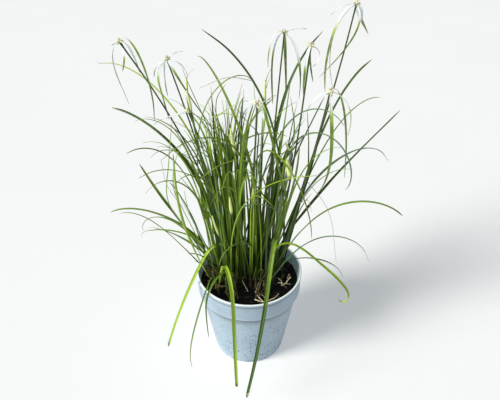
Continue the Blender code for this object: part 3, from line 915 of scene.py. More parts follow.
@dataclass(frozen=True)
class PlasticFinish:
    """Recycled moulded plastic: pale blue-grey, cloudy, with dark specks, most of them low down.

    It carries painted shade under the bead and under the collar's step, and painted highlights
    along the rim's top and the step's edge. Its inside is a paler, more cyan copy of the plastic,
    painted light on the shaded inside. It is soiled inside above the peat and at the foot. `rim`,
    `bead` and `step` are heights.
    """

    name: str
    base: tuple = display(172, 193, 209)
    cloud: tuple = display(160, 182, 200)
    # Colour of the painted highlights on the rim's top and the collar's lower edge.
    lit: tuple = display(250, 255, 255)
    # Colour of the inside: a paler, more cyan copy of the plastic, painted light on the shaded inside.
    inner: tuple = display(222, 252, 255)
    # Colour of the painted shade under the bead and under the collar's step.
    crease: tuple = display(96, 112, 122)
    speck: tuple = display(64, 80, 92)
    soiled: tuple = display(72, 72, 66)
    rim: float = 113.3 * MM
    bead: float = 110.1 * MM
    step: float = 89.0 * MM
    roughness: float = 0.34

    def material(self) -> bpy.types.Material:
        """Builds the material."""
        s = Shader(self.name)
        cloud, grain = s.noise(38, 6), s.noise(2600, 2)
        height, inside = s.height(), s.trait("inside")
        rim, bead, step = self.rim, self.bead, self.step
        colour = s.blend(cloud.step(0.3, 0.7), self.base, self.cloud)
        # Painted light: the inside takes the paler, more cyan copy, which lifts its shade.
        colour = s.blend(inside, colour, self.inner)
        # Painted highlight: a pale line along the rim's top.
        colour = s.blend(height.step(rim - 0.8 * MM, rim - 0.2 * MM) * 0.9, colour, self.lit)
        # Painted shade under the collar's step, fading out over 17 mm below it, and under the bead; the
        # crease mask carries both.
        painted_step_shade = height.step(step - 17.0 * MM, step - 1.0 * MM) ** 1.6
        painted_step_shade = painted_step_shade * height.step(step + 1.0 * MM, step)
        painted_bead_shade = height.band(bead - 3.4 * MM, bead - 0.8 * MM, bead, bead + 0.9 * MM)
        crease = (painted_step_shade * 0.8 + painted_bead_shade * 0.7) * (1.0 - inside)
        colour = s.blend(crease, colour, self.crease)
        # Painted highlight along the collar's lower edge, just above the step.
        edge = height.band(step + 0.8 * MM, step + 1.8 * MM, step + 2.2 * MM, step + 3.8 * MM)
        colour = s.blend(edge * (1.0 - inside) * 0.16, colour, self.lit)
        low = height.step(95 * MM, 25 * MM)
        coarse = s.spots(350, 0.38, 0.7) * (low * 0.9 + 0.12)
        fine = s.spots(560, 0.38, 0.5) * (low * 0.7 + 0.25)
        colour = s.blend(coarse * 0.9, colour, self.speck)
        colour = s.blend(fine * 0.75, colour, self.speck)
        splash = height.band(94 * MM, 100 * MM, 101 * MM, 107 * MM) * s.noise(210, 5).step(0.60, 0.70)
        foot = s.noise(160, 5).step(0.50, 0.62) * height.step(6 * MM, 1 * MM)
        colour = s.blend(splash * inside * 0.7 + foot * 0.7, colour, self.soiled)
        roughness = cloud * 0.14 + self.roughness + coarse * 0.1
        return s.done(colour, roughness, s.bump(grain, 0.05 * MM, 0.6), Specular_IOR_Level=0.5)


@dataclass(frozen=True)
class PeatFinish:
    """Moist peat: black with brown crumbs and a dull wet sheen in places."""

    name: str
    black: tuple = display(3, 5, 5)
    brown: tuple = display(15, 14, 11)
    fibre: tuple = display(50, 42, 32)

    def material(self) -> bpy.types.Material:
        """Builds the material."""
        s = Shader(self.name)
        lumps = s.noise(260, 8, rough=0.7)
        grain = s.noise(1500, 5)
        colour = s.blend(lumps.step(0.45, 0.72), self.black, self.brown)
        colour = s.blend(grain.step(0.66, 0.78) * 0.6, colour, self.fibre)
        wet = s.noise(60, 3).step(0.5, 0.7)
        relief = s.bump(lumps * 0.6 + grain * 0.4, 0.5 * MM)
        return s.done(colour, 0.92 - wet * 0.3 - grain * 0.1, relief, Specular_IOR_Level=0.12)


@dataclass(frozen=True)
class FloorFinish:
    """Plain pale studio floor."""

    name: str
    pale: tuple = display(243, 244, 245)
    paler: tuple = display(246, 247, 247)

    def material(self) -> bpy.types.Material:
        """Builds the material."""
        s = Shader(self.name)
        cloud = s.noise(3, 2)
        return s.done(s.blend(cloud, self.pale, self.paler), cloud * 0.1 + 0.7)


@dataclass
class Pot:
    """The nursery pot, turned from its section, with its drainage notches cut.

    A notch has its length outwards, its width and its height, and its cutter goes `beyond` past
    the foot, outwards and down. `first_notch` and `crease` are degrees, and `hub` is the radius of
    the smallest ring, next to the axis.
    """

    rim: float = field(default_factory=lambda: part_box("pot")[1].x)
    height: float = field(default_factory=lambda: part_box("pot")[1].z)
    foot: float = 41.6 * MM
    collar: float = 24.3 * MM
    collar_foot: float = 59.0 * MM
    shoulder: float = 56.2 * MM
    wall: float = 1.5 * MM
    floor: float = 2.0 * MM
    bead: float = 3.2 * MM
    bead_depth: float = 1.0 * MM
    notches: int = 8
    notch: tuple = (6.0 * MM, 6.0 * MM, 3.5 * MM)
    beyond: float = 2.0 * MM
    first_notch: float = -80.0
    crease: float = 40.0
    hub: float = 0.3 * MM
    sides: int = 192
    corner_steps: int = 5
    longest_step: float = 3.0 * MM

    def section(self) -> np.ndarray:
        """The section's corners and their rounding: rows of radius, height and corner radius."""
        top = self.height
        shoulder = top - self.collar
        return np.array(
            [
                # Inside, from the floor's middle up the wall to the rim
                (0.0, self.floor, 0.0),
                (self.foot - self.wall, self.floor, 1.2 * MM),
                (self.shoulder - self.wall, shoulder, 3.0 * MM),
                (self.rim - self.bead_depth - self.wall, top - 1.0 * MM, 2.0 * MM),
                # The bead: its top, its lower edge and the crease under it
                (self.rim - 2.2 * MM, top, 0.6 * MM),
                (self.rim, top, 1.1 * MM),
                (self.rim, top - self.bead, 0.9 * MM),
                (self.rim - self.bead_depth * 0.8, top - self.bead, 0.35 * MM),
                # The collar's foot and the step back to the body
                (self.collar_foot, shoulder + 1.2 * MM, 1.0 * MM),
                (self.collar_foot - 0.9 * MM, shoulder, 0.8 * MM),
                (self.shoulder, shoulder - 0.2 * MM, 0.9 * MM),
                # The foot and the underside
                (self.foot, 1.5 * MM, 5.0 * MM),
                (self.foot - 1.6 * MM, 0.0, 1.0 * MM),
                (0.0, 0.0, 0.0),
            ]
        )

    def profile(self) -> np.ndarray:
        """The section with each corner rounded by a parabola.

        It runs between the points that lie the corner's radius away from it on both sides, or 0.48
        of the shorter side where that is less.
        """
        corners = self.section()
        spots = corners[:, :2]
        edges = np.linalg.norm(np.diff(spots, axis=0), axis=1)
        rounding = np.minimum(corners[1:-1, 2], 0.48 * np.minimum(edges[:-1], edges[1:]))[:, None]
        to_before = unit(spots[:-2] - spots[1:-1])
        to_after = unit(spots[2:] - spots[1:-1])
        share = np.linspace(0.0, 1.0, self.corner_steps)[None, :, None]
        start = (spots[1:-1] + to_before * rounding)[:, None]
        end = (spots[1:-1] + to_after * rounding)[:, None]
        middle = spots[1:-1][:, None]
        arcs = (1 - share) ** 2 * start + 2 * share * (1 - share) * middle + share**2 * end
        first, last = spots[[0, -1]] + [self.hub, 0.0]
        return self._divided(np.vstack([first, arcs.reshape(-1, 2), last]))

    def _divided(self, line: np.ndarray) -> np.ndarray:
        """The line with points added so that no step is longer than the longest."""
        steps = np.linalg.norm(np.diff(line, axis=0), axis=1)
        knots = np.concatenate([[0.0], np.cumsum(steps)])
        pieces = np.maximum(np.ceil(steps / self.longest_step).astype(int), 1)
        at = np.interp(np.arange(pieces.sum() + 1), np.concatenate([[0], np.cumsum(pieces)]), knots)
        return np.stack([np.interp(at, knots, line[:, axis]) for axis in range(2)], axis=1)

    def cutters(self) -> bpy.types.Object:
        """One object of boxes, a box across the corner of floor and wall for each notch."""
        turn = circle(self.notches) + np.radians(self.first_notch)
        long, wide, high = self.notch
        middle = self.foot - long / 2 + self.beyond
        loop = np.array([(-1, -1), (1, -1), (1, 1), (-1, 1)]) / 2
        out = middle + loop[:, 0] * long
        side = loop[:, 1] * wide
        x = out * np.cos(turn)[:, None] - side * np.sin(turn)[:, None]
        y = out * np.sin(turn)[:, None] + side * np.cos(turn)[:, None]
        rings = [np.stack([x, y, np.full_like(x, level)], axis=-1) for level in (-self.beyond, high)]
        return closed_mesh("notch_boxes", np.stack(rings, axis=1))

    def build(self) -> None:
        """Turns the profile, cuts the notches and dresses the pot.

        A point at the angle a lies at the profile's radius times (cos a, -sin a), which turns the
        faces outwards for a profile that runs up the inside and down the outside.
        """
        line = self.profile()
        angle = circle(self.sides)
        x = line[:, :1] * np.cos(angle)
        y = -line[:, :1] * np.sin(angle)
        rings = np.stack([x, y, np.broadcast_to(line[:, 1:], x.shape)], axis=-1)[None]
        top = int(line[:, 1].argmax())
        inside = (np.arange(len(line)) < top).astype(float)[None, :, None]
        pot = closed_mesh("pot_body", rings, {"inside": np.broadcast_to(inside, rings.shape[:3])})
        boxes = self.cutters()
        cut = pot.modifiers.new("notches", "BOOLEAN")
        cut.object = boxes
        cut.solver = "EXACT"
        graph = bpy.context.evaluated_depsgraph_get()
        whole = bpy.data.meshes.new_from_object(pot.evaluated_get(graph))
        pot.modifiers.clear()
        pot.data = whole
        bpy.data.objects.remove(boxes)
        whole.set_sharp_from_angle(angle=np.radians(self.crease))
        settle(pot, Slot.POT, PlasticFinish("speckled_plastic").material(), "pot")


def ripples(points: np.ndarray, terms: int, lowest: float, highest: float) -> np.ndarray:
    """Fractal relief: a sum of sines in random level directions, each nearly as high as it is long.

    Args:
        points: places, shaped (..., 3).
        terms: number of sines.
        lowest: lowest wave number, in radians a metre.
        highest: highest wave number.

    Returns:
        Heights of about -1 to 1.
    """
    rng = np.random.default_rng(Seed.RELIEF)
    number = lowest * (highest / lowest) ** rng.random(terms)
    turn = rng.random(terms) * FULL_TURN
    start = rng.random(terms) * FULL_TURN
    phase = (points[..., :1] * np.cos(turn) + points[..., 1:2] * np.sin(turn)) * number + start
    weight = (lowest / number) ** 0.8
    return (np.sin(phase) * weight).sum(axis=-1) / np.sqrt((weight**2).sum() / 2) / 2


@dataclass(frozen=True)
class Laid:
    """A dry root or blade end that lies on the peat: its way, width and rise in millimetres."""

    way: tuple[tuple[float, float], ...]
    width: float
    rise: float
    tone: float

    def line(self) -> Line:
        """Its line, level, with its width along it."""
        middle = np.array([(x, y, 0.0) for x, y in self.way]) * MM
        across = np.cross(unit(np.gradient(middle, axis=0)), UP)
        return Line(middle, across, np.full(len(middle), self.width * MM))


@dataclass
class Peat:
    """The peat with its crumbs, fibres and the litter of dead blades on it.

    Its foot is `narrowing` of its reach wide, as the pot's inside is. Its surface lies `lift` above
    its level on the whole, its side begins `edge` below it, and `hub` is the smallest ring's radius
    at the bottom. Crumbs are larger than the smallest by up to `crumb_range`.
    """

    level: float
    reach: float = field(default_factory=lambda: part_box("soil")[1].x)
    bottom: float = field(default_factory=lambda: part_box("soil")[0].z)
    narrowing: float = 0.72
    lift: float = 0.3 * MM
    edge: float = 2 * MM
    hub: float = 0.2 * MM
    top_rings: int = 56
    side_rings: int = 12
    sectors: int = 150
    relief: float = 1.3 * MM
    crumbs: int = 1500
    crumb_rings: int = 4
    crumb_sides: int = 5
    smallest_crumb: float = 0.35 * MM
    crumb_range: float = 1.5 * MM
    fibres: int = 70
    dead_ends: int = 7
    seen: tuple = (
        Laid(((7, -25), (11, -36), (16, -42)), 1.5, 1.5, 0.3),
        Laid(((8, -27), (14, -31), (19, -40)), 0.9, 1.0, 0.2),
        Laid(((-7, 13), (-8, -7), (-1, -25)), 0.8, 3.0, 0.1),
        Laid(((8, -22), (13, -11), (20, -6)), 0.8, 4.0, 0.2),
        Laid(((-15, 28), (-6, 22), (-6, 8)), 1.7, 3.0, 0.8),
        Laid(((44, -4), (46, -2), (47, 1)), 1.2, 5.0, 0.2),
        Laid(((33, -9), (40, -14), (47, -13)), 1.0, 1.5, 0.1),
    )

    def top(self, points: np.ndarray) -> np.ndarray:
        """Height of the peat's surface at level places."""
        relief = self.relief * ripples(points, terms=60, lowest=90.0, highest=1800.0)
        return self.level + self.lift + relief

    def surface(self) -> None:
        """A closed body: rings out along the top, down the side and in along the bottom."""
        out = self.reach * np.linspace(0.01, 1.0, self.top_rings)
        sink = np.linspace(self.level - self.edge, self.bottom, self.side_rings)
        side = np.interp(sink, [self.bottom, self.level], [self.narrowing, 1.0]) * self.reach
        radius = np.concatenate([out, side, [self.hub]])[:, None]
        angle = circle(self.sectors)
        x, y = radius * np.cos(angle), -radius * np.sin(angle)
        points = np.stack([x, y, np.zeros_like(x)], axis=-1)
        points[: len(out), :, 2] = self.top(points[: len(out)])
        points[len(out) : -1, :, 2] = sink[:, None]
        points[-1, :, 2] = self.bottom
        piece = closed_mesh("peat_body", points[None, ::-1])
        settle(piece, Slot.PEAT, PeatFinish("moist_peat").material(), "soil")

    def scatter(self, count: int, seed: Seed) -> tuple[np.ndarray, np.random.Generator]:
        """Places spread evenly over the peat, on its surface, with the generator that chose them."""
        rng = np.random.default_rng(seed)
        out = np.sqrt(rng.random(count)) * (self.reach - 1.5 * MM)
        turn = rng.random(count) * FULL_TURN
        points = np.stack([out * np.cos(turn), out * np.sin(turn), np.zeros(count)], axis=1)
        points[:, 2] = self.top(points)
        return points, rng

    def laid(self, strands: Strands, rise: np.ndarray | float) -> Strands:
        """Strands drawn in to the bare peat and laid on it, some height above it."""
        out = np.linalg.norm(strands.middle[..., :2], axis=-1, keepdims=True)
        limit = self.reach - 2.5 * MM
        strands.middle[..., :2] *= np.minimum(1.0, limit / np.maximum(out, 1e-9))
        strands.middle[..., 2] = self.top(strands.middle) + rise
        return strands

    def crumb_heap(self) -> None:
        """Angular crumbs: rings of a squashed ball, each corner pushed in or out, turned at random.

        The size grows with the fourth power of the draw, so that large crumbs are few. A corner
        lies up to a quarter of the radius nearer or further.
        """
        points, rng = self.scatter(self.crumbs, Seed.CRUMBS)
        size = self.smallest_crumb + self.crumb_range * rng.random(self.crumbs) ** 4
        tilt = np.linspace(0.25, np.pi - 0.25, self.crumb_rings)[None, :, None]
        angle = circle(self.crumb_sides)[None, None, :] + rng.random(self.crumbs)[:, None, None] * 6
        corners = rng.random((self.crumbs, self.crumb_rings, self.crumb_sides))
        radius = size[:, None, None] * (0.75 + 0.5 * corners)
        flat = 0.55 + 0.4 * rng.random(self.crumbs)[:, None, None]
        x = radius * np.sin(tilt) * np.cos(angle)
        y = radius * np.sin(tilt) * np.sin(angle)
        z = -radius * np.cos(tilt) * flat
        lean = (rng.random(self.crumbs) - 0.5)[:, None, None] * 1.6
        leant = x * np.cos(lean) + z * np.sin(lean), y, z * np.cos(lean) - x * np.sin(lean)
        rings = np.stack(leant, axis=-1)
        rings += points[:, None, None] + size[:, None, None, None] * 0.3 * UP
        piece = closed_mesh("peat_crumbs", rings)
        piece.data.shade_flat()
        settle(piece, Slot.PEAT, PeatFinish("peat_crumb", brown=display(34, 27, 21)).material())

    def fibre_net(self) -> None:
        """Thin root fibres that lie in loose curves on the peat."""
        points, rng = self.scatter(self.fibres, Seed.FIBRES)
        growth = Growth.lying(points, rng, lengths=(5 * MM, 17 * MM), width=0.32 * MM)
        strands = self.laid(growth.strands(9), 0.4 * MM)
        finish = DryFinish("root_fibre", display(112, 94, 70), display(52, 40, 30)).material()
        settle(round_mesh("peat_fibres", strands, 5), Slot.ROOT, finish)

    def litter(self) -> None:
        """Dead blade ends, curled and brown, between the shoots and on the bare peat."""
        points, rng = self.scatter(self.dead_ends, Seed.LITTER)
        growth = Growth.lying(points, rng, lengths=(8 * MM, 20 * MM), width=1.4 * MM)
        strands = growth.strands(16)
        strands = self.laid(strands, 0.6 * MM + 2.2 * MM * np.sin(np.pi * strands.share))
        section = Section(corners=8, channel=0.5, keel=0.1, wrap=0.0, tip=5.0)
        finish = DryFinish("dead_blade", display(140, 116, 82), display(74, 54, 36)).material()
        settle(section.mesh("dead_blades", strands), Slot.ROOT, finish)

    def seen_roots(self) -> None:
        """The dry roots that stand out singly at the front.

        Each is raised in a bow by its rise times the sine of pi times the share of its length. It
        loses 0.4 of its width to its end, and swells and shrinks by 0.15 of it along its way.
        """
        lines, tones = [laid.line() for laid in self.seen], [laid.tone for laid in self.seen]
        strands = Strands.along(lines, 40, tones)
        rise = np.array([laid.rise for laid in self.seen])[:, None] * MM
        strands = self.laid(strands, 0.7 * MM + rise * np.sin(np.pi * strands.share))
        knots = 1.0 + 0.15 * np.sin(strands.share * 40)
        strands.width = strands.width * (1.0 - 0.4 * strands.share) * knots
        finish = DryFinish("seen_root", display(214, 204, 176), display(146, 128, 100)).material()
        settle(round_mesh("seen_roots", strands, 7), Slot.ROOT, finish)

    def build(self) -> None:
        """Builds all that lies in the pot."""
        self.surface()
        self.crumb_heap()
        self.fibre_net()
        self.litter()
        self.seen_roots()


@dataclass
class Foliage:
    """The single leaves: each follows its own node's line, finer, channelled and slightly twisted.

    By the leaf's number, `lifts` adds to its tone, `fades` darkens its outer half, `trims` is a
    share of its node's width and `tapers` the share of its width that it loses to its tip. The
    hanging leaves are narrower and less twisted than the rest, and the blunt ones end square.
    """

    level: float
    count: int = 36
    stations: int = 88
    bright: tuple = (1, 15, 16, 17, 18, 32, 35, 36)
    dark: tuple = (2, 11, 13, 14, 21, 23, 29)
    glaucous: tuple = (24, 25, 26, 28)
    hanging: tuple = (31, 32, 33, 34, 35, 36)
    blunt: tuple = (27, 31, 32, 35)
    bright_tone: float = 0.85
    plain_tone: float = 0.4
    dark_tone: float = 0.05
    narrower: float = 0.88
    taper: float = 0.42
    lifts: dict = field(default_factory=lambda: {28: -0.4, 32: 0.15, 36: 0.35})
    fades: dict = field(default_factory=lambda: {31: 0.6, 33: 0.4})
    trims: dict = field(
        default_factory=lambda: {
            1: 0.55, 2: 1.1, 3: 0.8, 5: 0.7, 8: 0.7, 9: 0.75, 10: 0.8, 12: 0.6, 16: 0.55, 17: 0.75,
            18: 0.42, 20: 0.85, 22: 0.7, 24: 0.8, 27: 0.6, 28: 0.65, 29: 0.75, 30: 0.85, 33: 0.68,
            34: 0.75, 36: 1.15,
        }
    )
    tapers: dict = field(
        default_factory=lambda: {
            2: 0.05, 13: 0.2, 21: 0.15, 23: 0.2, 27: 0.04, 28: 0.8, 29: 0.7, 31: 0.35, 32: 0.2,
            35: 0.15, 36: 0.1,
        }
    )

    def tone(self, number: int) -> float:
        """The leaf's tone, before its random part."""
        plain = self.dark_tone if number in self.dark else self.plain_tone
        return (self.bright_tone if number in self.bright else plain) + self.lifts.get(number, 0.0)

    def leaf(self, number: int, line: Line, rng: np.random.Generator) -> Strands:
        """One leaf on its line, with its tone and its twist drawn a little at random."""
        hangs = number in self.hanging
        widest = line.width.max() * (self.narrower if hangs else 1.0) * self.trims.get(number, 1.0)
        tone = self.tone(number) + 0.2 * (rng.random(1) - 0.5)
        strands = Strands.along([line.sunk(4 * MM)], self.stations, tone)
        strands = strands.blades(widest, self.tapers.get(number, self.taper))
        return strands.twisted(np.array([0.2 if hangs else 0.5]), 1.2, rng.random(1) * 6)

    def build(self) -> list[Line]:
        """Builds a piece for each leaf and returns the leaves' lines."""
        green = BladeFinish("leaf_blade", display(52, 82, 22), display(164, 198, 50)).material()
        pale = BladeFinish("glaucous_blade", display(70, 108, 56), display(196, 218, 188)).material()
        rng = np.random.default_rng(Seed.LEAVES)
        lines = []
        for number in range(1, self.count + 1):
            name = f"leaf_{number:02d}"
            line = node_line(name, self.level)
            lines.append(line)
            strands = self.leaf(number, line, rng)
            section = Section(tip=170.0 if number in self.blunt else 40.0)
            fade = np.array([self.fades.get(number, 0.0)])
            piece = section.mesh(f"blade_{number:02d}", strands, fade=fade)
            settle(piece, Slot.LEAF, pale if number in self.glaucous else green, name)
        return lines


@dataclass
class Tufts:
    """The crowns of young shoots, each with the blades that grow from it."""

    crown_top: float
    names: tuple = ("tuft_back_left", "tuft_back_right", "tuft_front_left", "tuft_front_right")
    stations: int = 72

    def build(self) -> list[Line]:
        """Builds a piece for each tuft and returns the lines of all its blades."""
        finish = BladeFinish("young_blade", display(48, 80, 22), display(136, 174, 48)).material()
        section = Section(tip=34.0)
        every = []
        for order, name in enumerate(self.names):
            rng = np.random.default_rng(Seed.SHOOTS + order)
            lines = [self._rooted(line) for line in NodeMesh(name).above(self.crown_top).lines()]
            strands = Strands.along(lines, self.stations, 0.25 + 0.6 * rng.random(len(lines)))
            strands = strands.blades(np.array([line.width.max() for line in lines]), 0.6)
            strands = strands.twisted(np.full(len(lines), 0.45), 1.4, rng.random(len(lines)) * 6)
            piece = section.mesh(f"shoots_{name.removeprefix('tuft_')}", strands)
            settle(piece, Slot.SHOOT, finish, name)
            every += lines
        return every

    def _rooted(self, line: Line) -> Line:
        """The line led straight back from the crown's top into the peat."""
        back = unit(line.middle[0] - line.middle[1])
        depth = (line.middle[0][2] - self.crown_top + 10 * MM) / max(-back[2], 0.3)
        return line.extended(before=line.middle[0] + back * depth)


@dataclass
class FlowerStems:
    """The eight culms, three-sided, each led on into its flower head.

    A culm narrows evenly from 1.15 to 0.75 of `width`. It is wider by 0.7 of that at its very foot
    and by half of it under the head, both of which fade within a few hundredths of its length.
    `lobes` makes it three-sided.
    """

    level: float
    count: int = 8
    into_head: float = 3.9 * MM
    width: float = 1.75 * MM
    lobes: float = 0.14
    stations: int = 64
    corners: int = 12

    def build(self) -> list[np.ndarray]:
        """Builds the stems and returns the flower heads' middles with the direction of each stem."""
        finish = StemFinish("culm").material()
        heads = []
        for number in range(1, self.count + 1):
            name = f"flower_stem_{number}"
            line = node_line(name, self.level)
            ahead = unit(line.middle[-1] - line.middle[-2])
            head = line.middle[-1] + ahead * self.into_head
            heads.append(np.stack([head, ahead]))
            line = line.sunk(4 * MM).extended(after=head)
            strands = Strands.along([line], self.stations, np.array([0.5]))
            share = strands.share
            flare = 1.0 + 0.5 * np.exp(-(1.0 - share) * 60) + 0.7 * np.exp(-share * 30)
            strands.width = self.width * (1.15 - 0.4 * share) * flare
            piece = round_mesh(f"culm_{number}", strands, self.corners, self.lobes)
            settle(piece, Slot.STEM, finish, name)
        return heads


@dataclass
class FlowerHeads:
    """The eight heads: long bracts, white near the head, round a tight cluster of spikelets.

    For each head, `looks` holds a share of the width and a length in white, in millimetres, for
    each bract, in the order in which its node holds them. `core` is the radius of the ball in
    which the bracts meet.
    """

    heads: list[np.ndarray]
    core: float = 4.5 * MM
    looks: tuple = (
        ((0.50, 28), (1.0, 4), (0.90, 16), (1.0, 46), (0.60, 26)),
        ((0.90, 16), (0.80, 30), (0.85, 26), (0.75, 12), (1.0, 20), (0.90, 22)),
        ((0.60, 34), (1.0, 26), (1.05, 10), (0.80, 20), (0.95, 30)),
        ((1.0, 22), (0.90, 12), (0.80, 24)),
        ((0.55, 30), (0.85, 36), (0.80, 28), (0.80, 34), (1.3, 38), (1.3, 18)),
        ((0.90, 22), (0.90, 14), (0.80, 20), (0.75, 22)),
        ((0.42, 20), (0.80, 10), (0.90, 17), (0.70, 3), (1.0, 8)),
        ((0.70, 26), (0.70, 26), (1.0, 8)),
    )
    stations: int = 56
    spikelets: int = 15
    spikelet_length: float = 4.1 * MM
    spikelet_radius: float = 0.85 * MM
    spikelet_sides: int = 8

    def bracts(self, number: int, centre: np.ndarray, finish: bpy.types.Material) -> None:
        """The ring of bracts of one head, on the lines of its node's bracts.

        A bract is widest at 0.3 of its length, by a bell curve down to about half its width, and
        narrows again into the head.

        Args:
            number: the head's number.
            centre: its middle.
            finish: the bracts' material.
        """
        name = f"flower_head_{number}"
        rng = np.random.default_rng(Seed.BRACTS + number)
        ring = NodeMesh(name).outside(centre, self.core).lines()
        lines = [line.extended(before=centre) for line in ring]
        strands = Strands.along(lines, self.stations, rng.random(len(lines)))
        broad, white = np.array(self.looks[number - 1]).T
        widest = strands.width.max(axis=1, keepdims=True) * broad[:, None]
        outline = 0.55 + 0.45 * np.exp(-((strands.share - 0.3) ** 2) / 0.12)
        strands.width = widest * np.minimum(outline, 0.3 + strands.share * 6)
        strands = strands.twisted(np.full(len(lines), 0.35), 0.9, rng.random(len(lines)) * 6)
        white = np.clip(white * MM / strands.length, 0.04, 0.95)
        section = Section(channel=0.22, web=0.24 * MM, wrap=0.5, tip=12.0)
        settle(section.mesh(f"bracts_{number}", strands, white_to=white), Slot.BRACT, finish, name)

    def ways(self, ahead: np.ndarray, rng: np.random.Generator) -> np.ndarray:
        """Directions of the spikelets, spread evenly over the head's upper side by the golden angle.

        Args:
            ahead: the stem's direction.
            rng: the generator of the draws, which turn the whole and push each a little aside.

        Returns:
            A unit vector for each spikelet.
        """
        order = np.arange(self.spikelets) + 0.5
        rise = (1.0 - 1.25 * order / self.spikelets)[:, None]
        turn = (order * np.pi * (3.0 - np.sqrt(5.0)) + rng.random() * 6)[:, None]
        level = np.sqrt(np.maximum(1.0 - rise**2, 0.0))
        side = unit(np.cross(ahead, [0.3, 1.0, 0.1]))
        other = np.cross(ahead, side)
        ways = level * (np.cos(turn) * side + np.sin(turn) * other) + rise * ahead
        return unit(ways + 0.15 * rng.normal(size=ways.shape))

    def cluster(
        self, number: int, centre: np.ndarray, ahead: np.ndarray, finish: bpy.types.Material
    ) -> None:
        """Spikelets that stand out of the head's middle.

        A spikelet's radius is its greatest times the sine of pi times the share of its length to
        the power 0.75, and a little more towards the free edge of each scale, of which there are
        six turns of a spiral.

        Args:
            number: the head's number.
            centre: its middle.
            ahead: the stem's direction.
            finish: the spikelets' material.
        """
        rng = np.random.default_rng(Seed.SPIKELETS + number)
        ways = self.ways(ahead, rng)
        share = np.linspace(0.0, 1.0, 13)
        length = self.spikelet_length * (0.8 + 0.35 * rng.random(self.spikelets))
        middle = centre + ways[:, None] * (0.3 * MM + length[:, None, None] * share[None, :, None])
        across = np.broadcast_to(unit(np.cross(ways, [0.2, 0.3, 0.9]))[:, None], middle.shape)
        scale = (share[:, None] * 6 + np.arange(self.spikelet_sides) / self.spikelet_sides) % 1.0
        bulge = np.sin(np.pi * share**0.75)[:, None] * (0.86 + 0.28 * scale) + 0.04
        strands = Strands(middle, across, np.ones(middle.shape[:2]), rng.random(self.spikelets))
        core = middle[:, :, None]
        around = 2 * (round_rings(strands, self.spikelet_sides) - core)
        rings = core + around * self.spikelet_radius * bulge[..., None]
        traits = Section(corners=self.spikelet_sides).traits(strands)
        traits["scale"] = np.broadcast_to(scale, traits["along"].shape)
        piece = closed_mesh(f"spikelets_{number}", rings, traits)
        settle(piece, Slot.BRACT, finish, f"flower_head_{number}")

    def build(self) -> None:
        """Builds all heads."""
        bract = BractFinish("bract").material()
        spikelet = SpikeletFinish("spikelet").material()
        for number, (centre, ahead) in enumerate(self.heads, 1):
            self.bracts(number, centre, bract)
            self.cluster(number, centre, ahead, spikelet)


@dataclass(frozen=True)
class Clump:
    """A clump of inner blades. Lengths are millimetres and angles degrees.

    `middle` is its place on the peat, to the right and back, `spread` its reach each way, and `fan`
    how much more its outermost blades lean outwards. Any other pair is the lowest and the highest.
    """

    blades: int
    middle: tuple[float, float]
    spread: tuple[float, float]
    lean: tuple[float, float]
    fan: float
    droop: tuple[float, float]
    bend: tuple[float, float]
    length: tuple[float, float]
    width: tuple[float, float]
    tone: tuple[float, float]

    def growth(self, level: float, seed: int) -> Growth:
        """The clump's blades.

        A blade leans sideways by an even draw between the two leans, plus more the further its root
        stands from the clump's middle, and droops the way that it leans.

        Args:
            level: height of the roots.
            seed: seed of the draws.

        Returns:
            The blades.
        """
        rng = np.random.default_rng(seed)
        count = self.blades
        draw = rng.random((6, count))
        turn = rng.random(count) * FULL_TURN
        out = np.sqrt(rng.random(count))
        x = self.middle[0] + self.spread[0] * out * np.cos(turn)
        y = self.middle[1] + self.spread[1] * out * np.sin(turn)
        sideways = np.interp(draw[0], [0, 1], self.lean) + self.fan * out * np.cos(turn)
        away = self.fan * out * np.sin(turn) + 4.0 * rng.normal(size=count)
        return Growth(
            root=np.stack([x * MM, y * MM, np.full(count, level)], axis=1),
            heading=np.arctan2(away, sideways),
            lean=np.radians(np.hypot(sideways, away)),
            droop=np.radians(np.interp(draw[1], [0, 1], self.droop)),
            bend=np.interp(draw[2], [0, 1], self.bend),
            swing=np.radians(50 * (rng.random(count) - 0.5)),
            length=np.interp(draw[3], [0, 1], self.length) * MM,
            width=np.interp(draw[4], [0, 1], self.width) * MM,
            tone=np.interp(draw[5], [0, 1], self.tone),
        )


